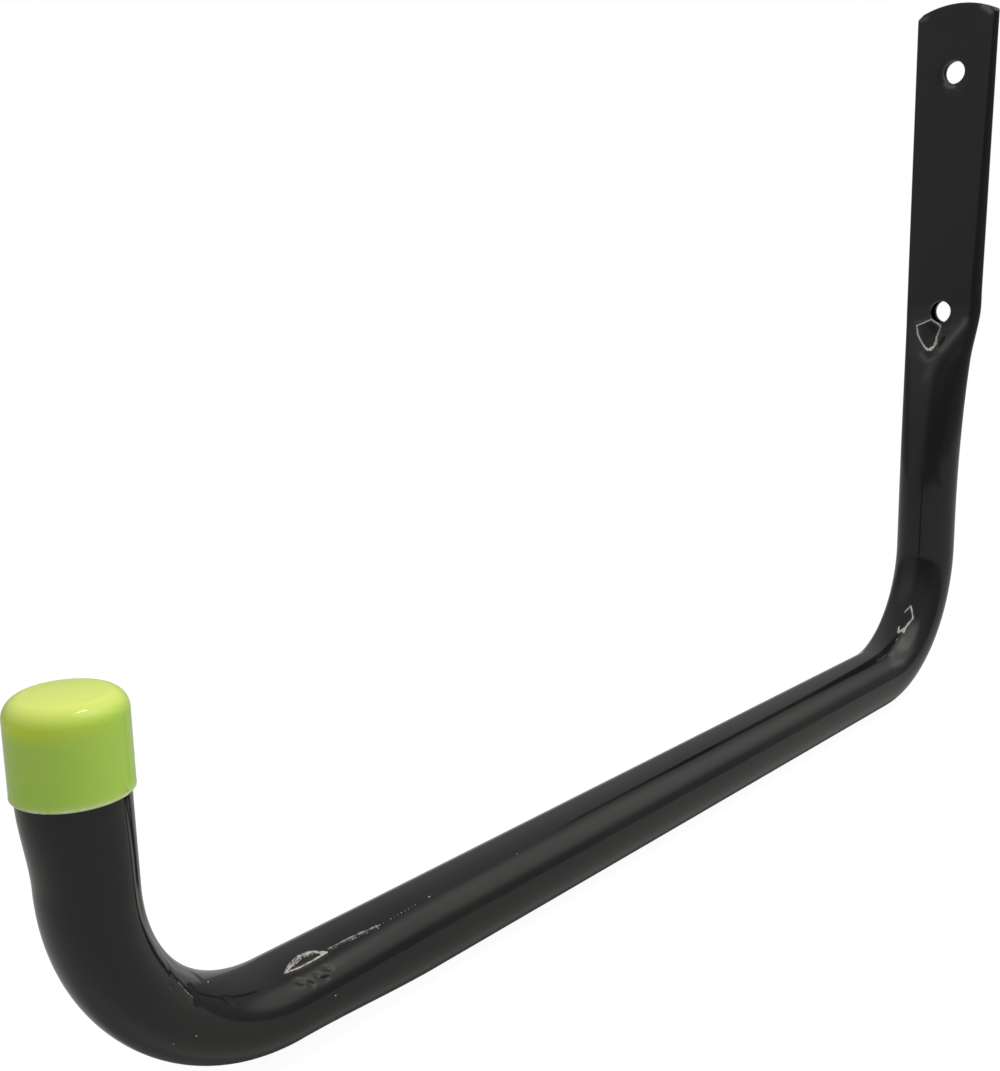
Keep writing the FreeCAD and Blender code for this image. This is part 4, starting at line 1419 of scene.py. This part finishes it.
    def surround(self) -> None:
        """White to the camera, and a soft room for everything else."""
        world = bpy.data.worlds.new("surround")
        world.use_nodes = True
        bpy.context.scene.world = world
        nodes, links = world.node_tree.nodes, world.node_tree.links
        toward = nodes.new("ShaderNodeTexCoord").outputs["Generated"]
        split = nodes.new("ShaderNodeSeparateXYZ")
        links.new(toward, split.inputs[0])
        parts = [self.ramp(world, split.outputs["Z"], (0.0, 0.7), (self.horizon, self.zenith)),
                 self.ramp(world, split.outputs["Z"], (-0.4, 0.0), (self.below - self.horizon, 0.0))]
        parts += [self.patch(world, lobe, toward) for lobe in self.shades]
        room = next(node for node in nodes if node.type == "BACKGROUND")
        room.inputs["Color"].default_value = (*self.room_colour, 1.0)
        links.new(self.total(world, parts), room.inputs["Strength"])
        window = nodes.new("ShaderNodeBackground")
        window.inputs["Color"].default_value = (*self.window_colour, 1.0)
        links.new(self.total(world, [self.patch(world, lobe, toward) for lobe in self.lobes]),
                  window.inputs["Strength"])
        both = nodes.new("ShaderNodeAddShader")
        links.new(room.outputs[0], both.inputs[0])
        links.new(window.outputs[0], both.inputs[1])
        white = nodes.new("ShaderNodeBackground")
        white.inputs["Color"].default_value = (1.0, 1.0, 1.0, 1.0)
        white.inputs["Strength"].default_value = 1.0
        mix = nodes.new("ShaderNodeMixShader")
        path = nodes.new("ShaderNodeLightPath")
        links.new(path.outputs["Is Camera Ray"], mix.inputs["Fac"])
        links.new(both.outputs[0], mix.inputs[1])
        links.new(white.outputs[0], mix.inputs[2])
        output = next(node for node in nodes if node.type == "OUTPUT_WORLD")
        links.new(mix.outputs[0], output.inputs["Surface"])

    def floor(self) -> None:
        """Lay a pale round floor just under the hook, as bright as the surround to the camera."""
        mesh = bpy.data.meshes.new("floor")
        shape = bmesh.new()
        bmesh.ops.create_circle(shape, cap_ends=True, segments=96, radius=self.floor_reach,
                                matrix=Matrix.Translation((0.0, -0.2, self.floor_z * MM)))
        shape.to_mesh(mesh)
        shape.free()
        floor = new_object("floor", mesh)
        material = bpy.data.materials.new("pale_floor")
        material.use_nodes = True
        nodes, links = material.node_tree.nodes, material.node_tree.links
        shader = next(node for node in nodes if node.type == "BSDF_PRINCIPLED")
        shader.inputs["Base Color"].default_value = (*[self.floor_tone] * 3, 1.0)
        shader.inputs["Roughness"].default_value = 0.9
        shader.inputs["Specular IOR Level"].default_value = 0.0
        glow = nodes.new("ShaderNodeEmission")
        glow.inputs["Strength"].default_value = self.floor_glow
        mix = nodes.new("ShaderNodeMixShader")
        path = nodes.new("ShaderNodeLightPath")
        share = nodes.new("ShaderNodeMath")
        share.operation = "MULTIPLY"
        share.inputs[1].default_value = self.floor_lift
        links.new(path.outputs["Is Camera Ray"], share.inputs[0])
        links.new(share.outputs[0], mix.inputs["Fac"])
        links.new(shader.outputs[0], mix.inputs[1])
        links.new(glow.outputs[0], mix.inputs[2])
        output = next(node for node in nodes if node.type == "OUTPUT_MATERIAL")
        links.new(mix.outputs[0], output.inputs["Surface"])
        mesh.materials.append(material)

    def build(self) -> None:
        """Set up the whole studio."""
        bpy.context.scene.view_settings.view_transform = "Standard"
        self.camera()
        self.surround()
        self.floor()
        for lamp in self.lamps:
            self.hang(lamp)


def fasten(item: bpy.types.Object, node: str | None = None) -> None:
    """Fasten a finished piece to the hook's body.

    Args:
        item: The piece.
        node: The part's node that it takes the place of, if any.
    """
    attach(item, BODY)
    if node:
        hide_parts(node)
    LOG.info("%s: %d faces", item.name, len(item.data.polygons))


def main() -> None:
    """Build and dress every piece."""
    logging.basicConfig(level=logging.INFO, format="%(message)s")
    shared = SharedEffects(orange_peel(), handling_film(), edge_wear())
    sizes = TubeSizes()
    Studio().build()
    tube = HookTube(sizes).build()
    tube.data.materials.clear()
    tube.data.materials.append(Finish.BLACK_PAINT.value.material(shared))
    grains = PaintGrains().build(tube, Finish.BROKEN_PAINT.value.material(shared))
    fasten(tube, TUBE_NODE)
    fasten(grains)
    cap = EndCap(sizes).build()
    cap.data.materials.append(Finish.LIME_PLASTIC.value.material(shared))
    fasten(cap, CAP_NODE)


if __name__ == "__main__":
    main()
